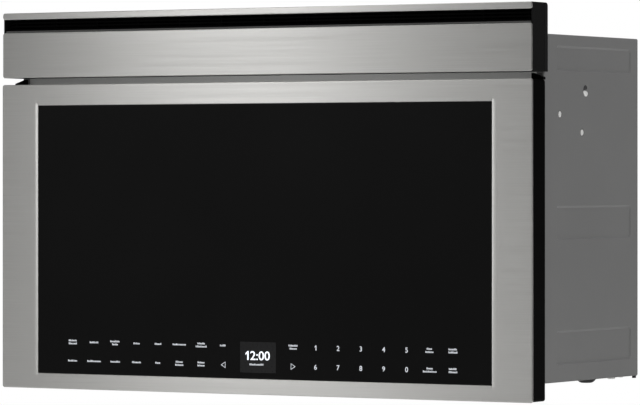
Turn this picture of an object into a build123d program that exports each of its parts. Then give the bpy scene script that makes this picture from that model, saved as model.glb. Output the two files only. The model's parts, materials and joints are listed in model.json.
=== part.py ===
from build123d import *
import os
from math import cos, hypot, radians, sin

os.makedirs("parts", exist_ok=True)

# X points right, Y points into the wall and Z points up.
# The origin is the centre of the rear face, where the unit lies against the wall.
# Depths are measured back from the door's front plane.
# Heights are measured up from the door's bottom edge.

# Front, from the bottom up
unit_width = 756.0
unit_depth = 284.4
door_height = 380.8
door_gap = 8.6
panel_height = 56.7
slot_height = 16.7
strip_height = 8.2
front_sheet = 2.4
front_roll = 1.2
front_corner = 3.0
trim_inset = 0.7

# Chassis box
chassis_inset = 4.9
chassis_front = 38.4
chassis_base = 21.2
chassis_below_strip = 28.2
sheet = 1.0
bend = 2.0
top_flange = 12.0
front_flange = 10.0
seat = 0.3

# Vent housing above the door
housing_inset = 0.7
housing_depth = 41.0
housing_wall = 2.0
housing_step = 32.0
housing_step_in = 0.3
housing_corner = 4.5
louvre_setback = 8.0
louvre_depth = 14.0
louvre_blade = 1.6
louvre_pitch = 61.0
louvre_rows = 3

# Door
door_rear_gap = 4.4
shell_inset = 0.7
shell_wall = 2.5
shell_face = 4.6
shell_rim = 2.2
shell_corner = 1.5
window_side = 54.3
window_base = 19.1
window_top_rail = 26.1
bevel_width = 5.2
bevel_depth = 0.3
bevel_reach = 2.6
glass_gap = 0.3
glass_set_back = 0.6
glass_thickness = 4.0
glass_bed = 9.0
guide_length = 15.3
guide_depth = 6.5
guide_tall = 7.9
guide_low = 2.8

# Choke, screen and inner window of the door
choke_margin = 34.0
choke_floor_depth = 15.0
choke_rear_gap = 1.0
choke_sheet = 1.2
choke_top_margin = 27.5
cover_thickness = 1.8
view_side = 45.0
view_base_rise = 34.0
view_top_drop = 30.0
view_lip = 8.0
screen_thickness = 0.6
inner_glass_thickness = 3.4

# Controls behind the glass
key_board_margin = 9.7
key_board_base = 27.0
key_board_height = 40.0
key_board_thickness = 1.6
display_width = 51.0
display_base = 26.8
display_height = 37.4
display_depth = 5.4

# Door hinge
hinge_from_rear = 10.5
hinge_height = 12.0
hinge_inset = 28.0
pin_radius = 4.0
pin_fit = 0.05
pin_set = 0.02
bracket_thickness = 4.0
eye_radius = 8.0
arm_lift = 4.8
arm_tall = 18.0
bracket_lift = 38.8
bracket_length = 48.5
bracket_foot = 16.0
bracket_play = 1.5
ear_play = 0.5
ear_thickness = 3.0
ear_behind_pin = 7.0
ear_top = 30.0
ear_base = 4.0
web_thickness = 2.0
web_top = 60.0
cartridge_radius = 7.9
cartridge_length = 38.0
pin_in_cartridge = 30.0
pin_head_radius = 6.0
pin_head = 2.5

# Door latch
latch_from_rear = 8.5
latch_drop = 8.8
latch_shaft_radius = 3.0
latch_fit = 0.06
latch_turn = 10.0
hook_inset = 69.0
hook_thickness = 6.0
hook_boss = 5.0
hook_reach = 20.8
hook_barb_length = 8.0
hook_barb_rise = 5.0
hook_arm_top = 2.0
hook_arm_bottom = -3.0
hook_play = 1.5
tab_length = 14.0
tab_from_tip = 12.0
tab_width = 8.0
rib_thickness = 5.0
rib_gap = 2.0

# Keepers, switches and door-open solenoid
keeper_set = 2.8
keeper_slip = 2.0
keeper_clear = 0.8
keeper_tall = 10.0
keeper_plate = 3.0
keeper_length = 38.8
keeper_above = 28.0
keeper_below = 10.0
switch_from_tip = 7.0
switch_length = 20.0
switch_width = 8.0
switch_tall = 11.0
plunger_radius = 1.2
plunger_fit = 0.06
plunger_from_tip = 2.0
plunger_gap = 0.25
plunger_travel = 1.5
plunger_length = 6.0
solenoid_width = 14.5
solenoid_length = 21.6
solenoid_lift = 20.0
solenoid_tall = 32.0
release_radius = 3.0
release_gap = 0.5
release_travel = 4.6
release_length = 24.0

# Cavity
compartment_width = 121.1
cavity_lift = 54.8
cavity_top_drop = 42.8
cavity_rear_gap = 13.4
rail_low = 62.0
rail_pitch = 58.0
rail_proud = 4.0
rail_tall = 3.0
rail_end = 26.0
well_margin = 14.0
well_front_gap = 12.0
well_back_gap = 11.0
well_deep = 14.0
floor_plate_thickness = 4.0
floor_plate_gap = 4.0
perforation_radius = 2.6
perforation_pitch = 9.0
perforation_rings = 5

# Stirrer and waveguide
coupling_radius = 24.0
waveguide_width = 80.0
waveguide_tall = 24.0
waveguide_left = 48.0
waveguide_past = 40.0
stirrer_radius = 74.0
stirrer_lift = 4.0
stirrer_sheet = 1.5
stirrer_hub = 10.0
stirrer_shaft = 4.0
shaft_fit = 0.05
shaft_clear = 0.8
shaft_in_motor = 8.0
stirrer_motor_radius = 25.0
stirrer_motor_tall = 13.5

# Magnetron
magnetron_out = 54.0
magnetron_width = 86.0
magnetron_length = 84.0
magnetron_base = 2.0
fin_count = 11
fin_pitch = 4.4
fin_sheet = 1.0
fin_rise = 9.0
anode_radius = 20.0
filter_tall = 28.0
filter_width = 60.0
antenna_radius = 8.0
antenna_length = 18.0

# Convection set on the left of the cavity
convection_deep = 49.0
convection_side = 194.0
fan_radius = 62.0
fan_blade = 18.0
fan_blades = 10
fan_plate = 1.2
fan_gap = 9.0
fan_shaft_radius = 4.0
fan_motor_radius = 30.0
fan_motor_length = 40.0
ring_radius = 80.0
ring_tube = 3.5
ring_sleeve = 4.2
ring_set = 19.0
ring_opening = 40.0
ring_leg = 8.0

# Broil element and its clips
broil_tube = 3.4
broil_drop = 12.0
broil_margin = 45.0
broil_middle = 110.0
broil_inner = 20.0
broil_front = 38.0
broil_turn = 73.0
broil_back = 188.0
broil_bend = 18.0
broil_tail = 5.0
clip_width = 10.0
clip_depth = 5.0
clip_back = 115.0
clip_fit = 0.3

# Cavity lamp and probe socket
lamp_set = 28.8
lamp_drop = 38.0
lamp_hole = 15.0
lens_radius = 18.0
lens_thickness = 3.0
lamp_cup_radius = 20.0
lamp_cup_length = 34.0
lamp_cup_wall = 1.5
bulb_radius = 8.0
bulb_length = 24.0
probe_set = 24.8
probe_lift = 94.0
probe_bore = 3.2
probe_barrel = 7.5
probe_length = 22.0
probe_flange = 10.5
probe_flange_thickness = 3.0
sensor_x = -150.0
sensor_radius = 2.4
sensor_reach = 34.0
sensor_flange = 9.0
sensor_head = 6.0

# Cooling blower
blower_set = 122.8
blower_drop = 93.0
blower_side = 112.0
blower_wide = 56.0
blower_wall = 2.0
blower_wheel_radius = 42.0
blower_wheel_gap = 4.0
blower_blades = 28
blower_blade_chord = 8.0
blower_inlet = 32.0
blower_shaft = 3.0
blower_motor_radius = 26.0
blower_motor_length = 36.0
blower_mouth = 46.0

# Boards and small electrics
board_thickness = 1.6
stud_radius = 3.0
stud_tall = 8.0
inverter_margin = 30.0
inverter_width = 160.0
inverter_back_gap = 20.0
inverter_length = 140.0
inverter_coil = 56.0
inverter_coil_tall = 48.0
heatsink_tall = 34.0
control_margin = 18.0
control_width = 190.0
control_set = 24.8
control_length = 130.0
relay_side = 18.0
relay_tall = 15.0
relay_count = 6
filter_board_left = -34.0
filter_board_width = 70.0
filter_board_back_gap = 14.0
filter_board_length = 78.0
choke_coil_radius = 14.0
choke_coil_tall = 22.0
cutout_x = -116.0
cutout_back_gap = 30.0
cutout_radius = 8.0
cutout_tall = 6.0

# Side panels
emboss_front = 70.0
emboss_back_gap = 18.2
emboss_deep = 2.0
emboss_slope = 45.0
emboss_low_lift = 20.8
emboss_tall = 40.0
emboss_middle_drop = 37.4
emboss_top_drop = 43.4
emboss_top_tall = 29.8
boss_depth = 146.5
boss_drop = 65.6
boss_radius = 7.5
boss_deep = 2.5
boss_seam_turn = 90.0
screw_front_depth = 79.0
screw_front_drop = 95.0
screw_back_depth = 136.0
screw_back_drop = 116.1
dimple_radius = 4.8
dimple_deep = 1.0
screw_head_radius = 3.6
screw_head_tall = 0.9
screw_shank_radius = 1.5
screw_shank_length = 7.0

# Underside
pad_depth = 171.0
pad_inset = 12.5
pad_radius = 12.0
pad_flat = 5.0
pad_tall = 4.6
washer_screw_from_back = 50.8
washer_screw_inset = 10.0
washer_screw_radius = 4.8
washer_screw_tall = 2.4
rivet_from_back = 25.7
rivet_inset = 10.0
rivet_radius = 3.2
rivet_tall = 1.6
bumper_back_gap = 3.5
bumper_length = 5.0
bumper_width = 3.0
bumper_tall = 2.8
intake_slot_length = 34.0
intake_slot_width = 4.0
intake_columns = 9
intake_rows = 6
intake_pitch_x = 44.0
intake_pitch_y = 12.0
intake_from_back = 51.4

# Fixing to the cabinet and the wall
bolt_spacing = 400.0
bolt_radius = 3.4
bolt_depth = 84.0
wall_slot_spacing = 600.0
wall_slot_length = 36.0
wall_slot_radius = 3.5
wall_slot_lift = 40.8
gland_inset = 55.1
gland_from_back = 47.4
gland_bore = 4.5
gland_barrel = 8.0
gland_flange = 12.0
gland_flange_tall = 3.4
gland_length = 14.0

# Vent windows in the front frame
vent_window_width = 22.0
vent_window_pitch = 32.0
vent_window_count = 19
vent_window_tall = 24.0
vent_window_drop = 8.0

# Places worked out from the sizes above
unit_half = unit_width / 2
chassis_half = unit_half - chassis_inset
skin_inner = chassis_half - sheet
chassis_back = unit_depth - sheet
panel_base = door_height + door_gap
slot_base = panel_base + panel_height
strip_base = slot_base + slot_height
unit_height = strip_base + strip_height
chassis_top = strip_base - chassis_below_strip
trim_half = unit_half - trim_inset
housing_half = unit_half - housing_inset
wall_centre = (chassis_base + chassis_top) / 2
frame_front = chassis_front + sheet + seat
frame_back = frame_front + sheet
frame_half = chassis_half - sheet - seat
frame_base = chassis_base + sheet + seat
cover_top = chassis_top - sheet
cover_base = cover_top - sheet
frame_top = cover_base - seat
cavity_half = skin_inner - compartment_width - sheet
cavity_base = chassis_base + cavity_lift
cavity_top = door_height - cavity_top_drop
cavity_back = chassis_back - cavity_rear_gap
window_half = unit_half - window_side
window_top = door_height - window_top_rail
glass_back = glass_set_back + glass_thickness
shell_half = unit_half - shell_inset
shell_base = shell_inset
shell_top = door_height - shell_inset
shell_inner_half = shell_half - shell_wall
shell_inner_base = shell_base + shell_wall
shell_inner_top = shell_top - shell_wall
face_back = front_sheet + shell_face
door_depth = chassis_front - door_rear_gap
rim_front = door_depth - shell_rim
bed_half = window_half - glass_bed
bed_base = window_base + glass_bed
bed_top = window_top - glass_bed
key_board_half = bed_half - key_board_margin
choke_half = cavity_half + choke_margin
choke_base = cavity_base - choke_margin
choke_top = cavity_top + choke_top_margin
cover_back = frame_front - choke_rear_gap
choke_back_depth = cover_back - cover_thickness
view_half = cavity_half - view_side
view_base = cavity_base + view_base_rise
view_top = cavity_top - view_top_drop
hinge_x = unit_half - hinge_inset
hinge_depth = door_depth - hinge_from_rear
arm_low = chassis_base + arm_lift
arm_high = arm_low + arm_tall
bracket_tall = chassis_base + bracket_lift
bracket_front = frame_back + seat
bracket_back = bracket_front + bracket_length
ear_back = hinge_depth + ear_behind_pin
ear_near = bracket_thickness / 2 + ear_play
ear_far = ear_near + ear_thickness
web_front = face_back
hook_x = unit_half - hook_inset
latch_depth = door_depth - latch_from_rear
latch_height = door_height - latch_drop
hook_tip_depth = frame_back + hook_reach
hook_tip_top = latch_height + hook_barb_rise
tip_front = hook_tip_depth - hook_barb_length
tab_depth = hook_tip_depth - tab_from_tip
tab_back = tab_depth + tab_width
keeper_front = frame_back + keeper_set
keeper_back = tip_front - keeper_slip
switch_front = hook_tip_depth - switch_from_tip
plunger_depth = hook_tip_depth - plunger_from_tip
solenoid_base = latch_height + solenoid_lift
hook_swing = hypot(hook_tip_depth - hinge_depth, hook_tip_top - hinge_height)
keeper_base = hinge_height + hook_swing + keeper_clear
solenoid_x = hook_x - hook_thickness / 2 - hook_play - solenoid_width / 2 - seat
well_half = cavity_half - well_margin
well_front = frame_back + well_front_gap
well_back = cavity_back - well_back_gap
well_floor = cavity_base - well_deep
well_depth = (well_front + well_back) / 2
waveguide_top = well_floor - sheet
waveguide_base = waveguide_top - waveguide_tall
stirrer_motor_base = waveguide_base - stirrer_motor_tall
stirrer_plate_base = well_floor + stirrer_lift
floor_plate_top = cavity_base + floor_plate_thickness
side_wall_x = cavity_half + sheet
magnetron_x = side_wall_x + magnetron_out
waveguide_right = magnetron_x + waveguide_past
convection_depth = (frame_back + cavity_back) / 2
convection_height = (cavity_base + cavity_top) / 2
convection_wall = side_wall_x + convection_deep
fan_front = side_wall_x + fan_gap
fan_back = fan_front + fan_blade + fan_plate
broil_height = cavity_top - broil_drop
broil_outer = cavity_half - broil_margin
lamp_depth = frame_back + lamp_set
lamp_height = cavity_top - lamp_drop
probe_depth = frame_back + probe_set
probe_height = cavity_base + probe_lift
blower_depth = frame_back + blower_set
blower_height = cavity_top - blower_drop
ceiling_top = cavity_top + sheet
board_base = ceiling_top + stud_tall
inverter_left = cavity_half - inverter_margin - inverter_width
inverter_front = cavity_back - inverter_back_gap - inverter_length
control_left = control_margin - cavity_half
control_front = frame_back + control_set
filter_board_front = cavity_back - filter_board_back_gap - filter_board_length
cutout_depth = cavity_back - cutout_back_gap
emboss_length = unit_depth - emboss_back_gap - emboss_front
emboss_low_base = chassis_base + emboss_low_lift
emboss_middle_base = wall_centre - emboss_middle_drop
emboss_top_base = chassis_top - emboss_top_drop
boss_height = chassis_top - boss_drop
boss_ball = (boss_radius**2 + boss_deep**2) / (2 * boss_deep)
screw_front_height = chassis_top - screw_front_drop
screw_back_height = chassis_top - screw_back_drop
washer_screw_depth = chassis_back - washer_screw_from_back
rivet_depth = chassis_back - rivet_from_back
bumper_back = chassis_back - bumper_back_gap
intake_depth = chassis_back - intake_from_back
gland_x = chassis_half - gland_inset
gland_depth = chassis_back - gland_from_back
wall_slot_height = chassis_base + wall_slot_lift


def deep(depth):
    """The Y of a depth behind the door's front plane."""
    return depth - unit_depth


def up(height):
    """The Z of a height above the door's bottom edge."""
    return height - wall_centre


def latched(depth, height):
    """The height that a point of the hook has once the latch is turned."""
    turn = radians(latch_turn)
    return latch_height + (depth - latch_depth) * sin(turn) + (height - latch_height) * cos(turn)


def both_ways(half):
    """A span that reaches equally left and right of the centre."""
    return (-half, half)


def outward(sign, near, far):
    """An X span on one side of the centre, from near it to far from it."""
    return (min(sign * near, sign * far), max(sign * near, sign * far))


def block(xs, depths, heights, mode=Mode.ADD):
    """A straight block between two X values, two depths and two heights."""
    width = xs[1] - xs[0]
    length = depths[1] - depths[0]
    with BuildSketch(Plane.XY.offset(up(heights[0]))) as outline:
        with Locations((xs[0] + width / 2, deep(depths[0] + length / 2))):
            Rectangle(width, length)
    extrude(outline.sketch, amount=heights[1] - heights[0], mode=mode)


def front_plate(xs, depths, heights, corner, mode=Mode.ADD):
    """A plate parallel to the front, with rounded corners."""
    width = xs[1] - xs[0]
    tall = heights[1] - heights[0]
    with BuildSketch(Plane.XZ.offset(-deep(depths[1]))) as outline:
        with Locations((xs[0] + width / 2, up(heights[0] + tall / 2))):
            RectangleRounded(width, tall, corner)
    extrude(outline.sketch, amount=depths[1] - depths[0], mode=mode)


def rod_x(xs, depth, height, radius, mode=Mode.ADD):
    """A round rod or hole along X."""
    with BuildSketch(Plane.YZ.offset(xs[0])) as outline:
        with Locations((deep(depth), up(height))):
            Circle(radius)
    extrude(outline.sketch, amount=xs[1] - xs[0], mode=mode)


def rod_y(x, depths, height, radius, mode=Mode.ADD):
    """A round rod or hole along Y."""
    with BuildSketch(Plane.XZ.offset(-deep(depths[1]))) as outline:
        with Locations((x, up(height))):
            Circle(radius)
    extrude(outline.sketch, amount=depths[1] - depths[0], mode=mode)


def rod_z(x, depth, heights, radius, mode=Mode.ADD):
    """A round rod or hole along Z."""
    with BuildSketch(Plane.XY.offset(up(heights[0]))) as outline:
        with Locations((x, deep(depth))):
            Circle(radius)
    extrude(outline.sketch, amount=heights[1] - heights[0], mode=mode)


def side_profile(xs, corners, mode=Mode.ADD):
    """A plate across X whose outline is a list of (depth, height) corners."""
    with BuildSketch(Plane.YZ.offset(xs[0])) as outline:
        with BuildLine():
            Polyline([(deep(depth), up(height)) for depth, height in corners], close=True)
        make_face()
    extrude(outline.sketch, amount=xs[1] - xs[0], mode=mode)


plunger_base = latched(hook_tip_depth, hook_tip_top) + plunger_gap - plunger_travel
release_base = latched(tab_back, latch_height + hook_arm_top) + release_gap - release_travel

# Stainless strip along the top edge
with BuildPart() as trim_strip:
    front_plate(both_ways(trim_half), (0, front_sheet), (strip_base, unit_height), front_corner)
    fillet(trim_strip.edges().group_by(Axis.Y)[0], radius=front_roll)
trim_strip.part.label = "trim_strip"
export_step(trim_strip.part, "parts/trim_strip.step")

# Fixed stainless panel between the vent slot and the door
with BuildPart() as top_panel:
    front_plate(both_ways(trim_half), (0, front_sheet), (panel_base, slot_base), front_corner)
    fillet(top_panel.edges().group_by(Axis.Y)[0], radius=front_roll)
top_panel.part.label = "top_panel"
export_step(top_panel.part, "parts/top_panel.step")

# Black housing that carries the strip and the panel and wraps the front of the chassis
plenum_half = housing_half - housing_wall
notch_half = chassis_half + seat
notch_front = chassis_front - seat
notch_top = chassis_top + seat
with BuildPart() as vent_housing:
    block(both_ways(housing_half), (front_sheet, housing_depth), (panel_base, unit_height))
    fillet(
        vent_housing.edges().filter_by(Axis.X).group_by(Axis.Y)[-1].sort_by(Axis.Z)[-1],
        radius=housing_corner,
    )
    block(both_ways(notch_half), (notch_front, housing_depth), (panel_base, notch_top), Mode.SUBTRACT)
    block(
        both_ways(plenum_half),
        (front_sheet + housing_wall, notch_front),
        (panel_base + housing_wall, unit_height - housing_wall),
        Mode.SUBTRACT,
    )
    block(
        both_ways(plenum_half),
        (notch_front, housing_depth - housing_wall),
        (notch_top + housing_wall, unit_height - housing_wall - housing_corner),
        Mode.SUBTRACT,
    )
    block(
        both_ways(plenum_half),
        (front_sheet, front_sheet + housing_wall),
        (slot_base, strip_base),
        Mode.SUBTRACT,
    )
    for sign in (-1, 1):
        block(
            outward(sign, housing_half - housing_step_in, housing_half),
            (housing_step, housing_depth),
            (panel_base, unit_height),
            Mode.SUBTRACT,
        )
vent_housing.part.label = "vent_housing"
export_step(vent_housing.part, "parts/vent_housing.step")

# Louvre set back inside the vent slot
louvre_half = plenum_half - seat
louvre_front = front_sheet + housing_wall + louvre_setback
louvre_back = louvre_front + louvre_depth
louvre_gap = slot_height / (louvre_rows + 1)
louvre_posts = int(2 * louvre_half // louvre_pitch)
with BuildPart() as vent_louvre:
    for row in range(louvre_rows + 2):
        blade_height = slot_base + row * louvre_gap
        block(
            both_ways(louvre_half),
            (louvre_front, louvre_back),
            (blade_height - louvre_blade / 2, blade_height + louvre_blade / 2),
        )
    for post in range(louvre_posts + 1):
        post_x = (post - louvre_posts / 2) * louvre_pitch
        block(
            (post_x - louvre_blade / 2, post_x + louvre_blade / 2),
            (louvre_front + louvre_blade, louvre_back),
            (slot_base, unit_height - housing_wall - seat),
        )
vent_louvre.part.label = "vent_louvre"
export_step(vent_louvre.part, "parts/vent_louvre.step")

# Stainless front frame of the door, with a bevel down each side of the glass
with BuildPart() as door_frame:
    front_plate(both_ways(unit_half), (0, front_sheet), (0, door_height), front_corner)
    fillet(door_frame.edges().group_by(Axis.Y)[0], radius=front_roll)
    block(both_ways(window_half), (0, front_sheet), (window_base, window_top), Mode.SUBTRACT)
    for sign in (-1, 1):
        with BuildSketch(Plane.XY.offset(up(window_base - bevel_reach))) as wedge:
            with BuildLine():
                Polyline(
                    [
                        (sign * window_half, deep(0)),
                        (sign * (window_half + bevel_width), deep(0)),
                        (sign * window_half, deep(bevel_depth)),
                    ],
                    close=True,
                )
            make_face()
        extrude(wedge.sketch, amount=window_top - window_base + 2 * bevel_reach, mode=Mode.SUBTRACT)
door_frame.part.label = "door_frame"
export_step(door_frame.part, "parts/door_frame.step")

# Black outer glass
glass_half = window_half - glass_gap
with BuildPart() as door_glass:
    block(
        both_ways(glass_half),
        (glass_set_back, glass_back),
        (window_base + glass_gap, window_top - glass_gap),
    )
door_glass.part.label = "door_glass"
export_step(door_glass.part, "parts/door_glass.step")

# Black moulded shell of the door
slot_half = bracket_thickness / 2 + bracket_play
hook_near = hook_x - hook_thickness / 2
hook_far = hook_x + hook_thickness / 2
rib_far = hook_near - rib_gap
rib_near = rib_far - rib_thickness
with BuildPart() as door_shell:
    block(both_ways(shell_half), (front_sheet, door_depth), (shell_base, shell_top))
    fillet(door_shell.edges().filter_by(Axis.Y), radius=front_corner)
    fillet(
        door_shell.edges().filter_by(Axis.X).group_by(Axis.Y)[-1].sort_by(Axis.Z)[0],
        radius=shell_corner,
    )
    block(
        both_ways(shell_inner_half),
        (face_back, rim_front),
        (shell_inner_base, shell_inner_top),
        Mode.SUBTRACT,
    )
    block(both_ways(bed_half), (front_sheet, face_back), (bed_base, bed_top), Mode.SUBTRACT)
    block(
        both_ways(window_half),
        (front_sheet, glass_back),
        (window_base, window_top),
        Mode.SUBTRACT,
    )
    block(
        both_ways(choke_half + seat),
        (rim_front, door_depth),
        (choke_base - seat, choke_top + seat),
        Mode.SUBTRACT,
    )
    for sign in (-1, 1):
        block(
            outward(sign, hinge_x - slot_half, hinge_x + slot_half),
            (web_front, door_depth),
            (shell_base, arm_high + bracket_play),
            Mode.SUBTRACT,
        )
        block(
            outward(sign, rib_near, rib_far),
            (face_back, rim_front),
            (choke_top + seat, shell_inner_top),
        )
        rod_x(outward(sign, rib_near, rib_far), latch_depth, latch_height,
              latch_shaft_radius + latch_fit, Mode.SUBTRACT)
        block(
            outward(sign, hook_near - hook_play, hook_far + hook_play),
            (rim_front, door_depth),
            (choke_top + seat, shell_inner_top),
            Mode.SUBTRACT,
        )
door_shell.part.label = "door_shell"
export_step(door_shell.part, "parts/door_shell.step")

# Guides on the door's top rear corners, sloping down towards the outside
with BuildPart() as door_corner_guides:
    for sign in (-1, 1):
        with BuildSketch(Plane.XZ.offset(-deep(door_depth))) as slope:
            with BuildLine():
                Polyline(
                    [
                        (sign * shell_half, up(shell_top)),
                        (sign * shell_half, up(shell_top + guide_low)),
                        (sign * (shell_half - guide_length), up(shell_top + guide_tall)),
                        (sign * (shell_half - guide_length), up(shell_top)),
                    ],
                    close=True,
                )
            make_face()
        extrude(slope.sketch, amount=guide_depth, dir=(0, -1, 0))
door_corner_guides.part.label = "door_corner_guides"
export_step(door_corner_guides.part, "parts/door_corner_guides.step")

# Steel choke pan behind the glass, a channel all round the window
with BuildPart() as door_choke:
    block(both_ways(choke_half), (choke_floor_depth, choke_back_depth), (choke_base, choke_top))
    block(
        both_ways(choke_half - choke_sheet),
        (choke_floor_depth + choke_sheet, choke_back_depth),
        (choke_base + choke_sheet, choke_top - choke_sheet),
        Mode.SUBTRACT,
    )
    block(
        both_ways(view_half + view_lip + choke_sheet),
        (choke_floor_depth, choke_back_depth),
        (view_base - view_lip - choke_sheet, view_top + view_lip + choke_sheet),
    )
    block(
        both_ways(view_half + view_lip),
        (choke_floor_depth + choke_sheet, choke_back_depth),
        (view_base - view_lip, view_top + view_lip),
        Mode.SUBTRACT,
    )
    block(
        both_ways(view_half),
        (choke_floor_depth, choke_floor_depth + choke_sheet),
        (view_base, view_top),
        Mode.SUBTRACT,
    )
door_choke.part.label = "door_choke"
export_step(door_choke.part, "parts/door_choke.step")

# Plastic ring that closes the choke channel on the cavity side
with BuildPart() as choke_cover:
    front_plate(both_ways(choke_half), (choke_back_depth, cover_back), (choke_base, choke_top), front_corner)
    front_plate(
        both_ways(view_half),
        (choke_back_depth, cover_back),
        (view_base, view_top),
        front_corner,
        Mode.SUBTRACT,
    )
choke_cover.part.label = "choke_cover"
export_step(choke_cover.part, "parts/choke_cover.step")

# Metal screen of the window
screen_front = choke_floor_depth + choke_sheet
screen_half = view_half + view_lip - seat
with BuildPart() as window_screen:
    block(
        both_ways(screen_half),
        (screen_front, screen_front + screen_thickness),
        (view_base - view_lip + seat, view_top + view_lip - seat),
    )
window_screen.part.label = "window_screen"
export_step(window_screen.part, "parts/window_screen.step")

# Inner glass, held between the pan's inner wall and the ring
with BuildPart() as inner_glass:
    block(
        both_ways(screen_half),
        (choke_back_depth - inner_glass_thickness, choke_back_depth),
        (view_base - view_lip + seat, view_top + view_lip - seat),
    )
inner_glass.part.label = "inner_glass"
export_step(inner_glass.part, "parts/inner_glass.step")

# Board with the touch keys, bonded to the back of the glass
display_half = display_width / 2
display_top = display_base + display_height
with BuildPart() as touch_board:
    block(
        both_ways(key_board_half),
        (glass_back, glass_back + key_board_thickness),
        (bed_base + seat, key_board_base + key_board_height),
    )
    block(
        both_ways(display_half + seat),
        (glass_back, glass_back + key_board_thickness),
        (display_base - seat, display_top + seat),
        Mode.SUBTRACT,
    )
touch_board.part.label = "touch_board"
export_step(touch_board.part, "parts/touch_board.step")

# Display module in the middle of the key board
with BuildPart() as display_module:
    block(
        both_ways(display_half),
        (glass_back, glass_back + display_depth),
        (bed_base + seat, display_top),
    )
    fillet(display_module.edges().filter_by(Axis.Y), radius=front_roll)
display_module.part.label = "display_module"
export_step(display_module.part, "parts/display_module.step")

# Hinge brackets, bolted to the base, with arms through the front frame into the door
with BuildPart() as hinge_brackets:
    for sign in (-1, 1):
        thick = outward(sign, hinge_x - bracket_thickness / 2, hinge_x + bracket_thickness / 2)
        rod_x(thick, hinge_depth, hinge_height, eye_radius)
        side_profile(
            thick,
            [
                (hinge_depth - eye_radius, hinge_height),
                (hinge_depth, arm_high - bracket_play),
                (hinge_depth + bracket_play, arm_high),
                (bracket_front, arm_high),
                (bracket_front, arm_low),
                (hinge_depth + eye_radius, arm_low),
                (hinge_depth + eye_radius, hinge_height),
            ],
        )
        block(thick, (bracket_front, bracket_back), (frame_base, bracket_tall))
        block(
            outward(sign, hinge_x, hinge_x + bracket_foot),
            (bracket_front, bracket_back),
            (chassis_base + sheet, chassis_base + sheet + bracket_thickness / 2),
        )
        rod_x(thick, hinge_depth, hinge_height, pin_radius + pin_set, Mode.SUBTRACT)
hinge_brackets.part.label = "hinge_brackets"
export_step(hinge_brackets.part, "parts/hinge_brackets.step")

# Hinge pins, held in the eyes of the brackets
inboard = hinge_x - ear_far - pin_in_cartridge
outboard = hinge_x + ear_far + seat
with BuildPart() as hinge_pins:
    for sign in (-1, 1):
        rod_x(outward(sign, inboard, outboard + pin_head), hinge_depth, hinge_height, pin_radius)
        rod_x(outward(sign, outboard, outboard + pin_head), hinge_depth, hinge_height, pin_head_radius)
hinge_pins.part.label = "hinge_pins"
export_step(hinge_pins.part, "parts/hinge_pins.step")

# Hinge plates inside the door, each with an ear on either side of its bracket
with BuildPart() as hinge_plates:
    for sign in (-1, 1):
        for near, far in ((ear_near, ear_far), (-ear_far, -ear_near)):
            block(outward(sign, hinge_x + near, hinge_x + far), (web_front, ear_back), (ear_base, ear_top))
        block(
            outward(sign, hinge_x - ear_far, hinge_x + ear_far),
            (web_front, web_front + web_thickness),
            (ear_base, web_top),
        )
        rod_x(
            outward(sign, hinge_x - ear_far, hinge_x + ear_far),
            hinge_depth,
            hinge_height,
            pin_radius + pin_fit,
            Mode.SUBTRACT,
        )
hinge_plates.part.label = "hinge_plates"
export_step(hinge_plates.part, "parts/hinge_plates.step")

# Sealed spring and damper cartridges on the hinge axis, inboard of the plates
cartridge_far = hinge_x - ear_far
with BuildPart() as hinge_cartridges:
    for sign in (-1, 1):
        rod_x(
            outward(sign, cartridge_far - cartridge_length, cartridge_far),
            hinge_depth,
            hinge_height,
            cartridge_radius,
        )
        rod_x(
            outward(sign, cartridge_far - pin_in_cartridge - seat, cartridge_far),
            hinge_depth,
            hinge_height,
            pin_radius + pin_fit,
            Mode.SUBTRACT,
        )
hinge_cartridges.part.label = "hinge_cartridges"
export_step(hinge_cartridges.part, "parts/hinge_cartridges.step")

# Shaft across the top of the door that joins the two latch hooks
with BuildPart() as latch_shaft:
    rod_x(both_ways(hook_far), latch_depth, latch_height, latch_shaft_radius)
latch_shaft.part.label = "latch_shaft"
export_step(latch_shaft.part, "parts/latch_shaft.step")

# Latch hooks, shown released, with a tab on the right one for the solenoid
with BuildPart() as latch_hooks:
    for sign in (-1, 1):
        thick = outward(sign, hook_near, hook_far)
        rod_x(thick, latch_depth, latch_height, hook_boss)
        side_profile(
            thick,
            [
                (latch_depth, latch_height + hook_arm_bottom),
                (hook_tip_depth, latch_height + hook_arm_bottom),
                (hook_tip_depth, hook_tip_top),
                (tip_front, hook_tip_top),
                (tip_front, latch_height + hook_arm_top),
                (latch_depth, latch_height + hook_arm_top),
            ],
        )
        if sign > 0:
            block(
                outward(sign, hook_near - tab_length, hook_near),
                (tab_depth, tab_back),
                (latch_height + hook_arm_bottom, latch_height + hook_arm_top),
            )
        rod_x(thick, latch_depth, latch_height, latch_shaft_radius + pin_set, Mode.SUBTRACT)
latch_hooks.part.label = "latch_hooks"
export_step(latch_hooks.part, "parts/latch_hooks.step")

# Keepers on the front frame, which the hooks rise behind and which carry the switches
keeper_near = hook_near - hook_play
keeper_far = hook_far + hook_play
keeper_top = latch_height + keeper_above
keeper_end = frame_back + keeper_length
with BuildPart() as latch_keepers:
    for sign in (-1, 1):
        block(
            outward(sign, keeper_far, keeper_far + keeper_plate),
            (frame_back, keeper_end),
            (latch_height - keeper_below, keeper_top),
        )
        block(
            outward(sign, keeper_near, keeper_far),
            (keeper_front, keeper_back),
            (keeper_base, keeper_base + keeper_tall),
        )
        block(
            outward(sign, keeper_near, keeper_far),
            (keeper_back, keeper_end),
            (keeper_top - keeper_plate, keeper_top),
        )
latch_keepers.part.label = "latch_keepers"
export_step(latch_keepers.part, "parts/latch_keepers.step")

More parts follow.
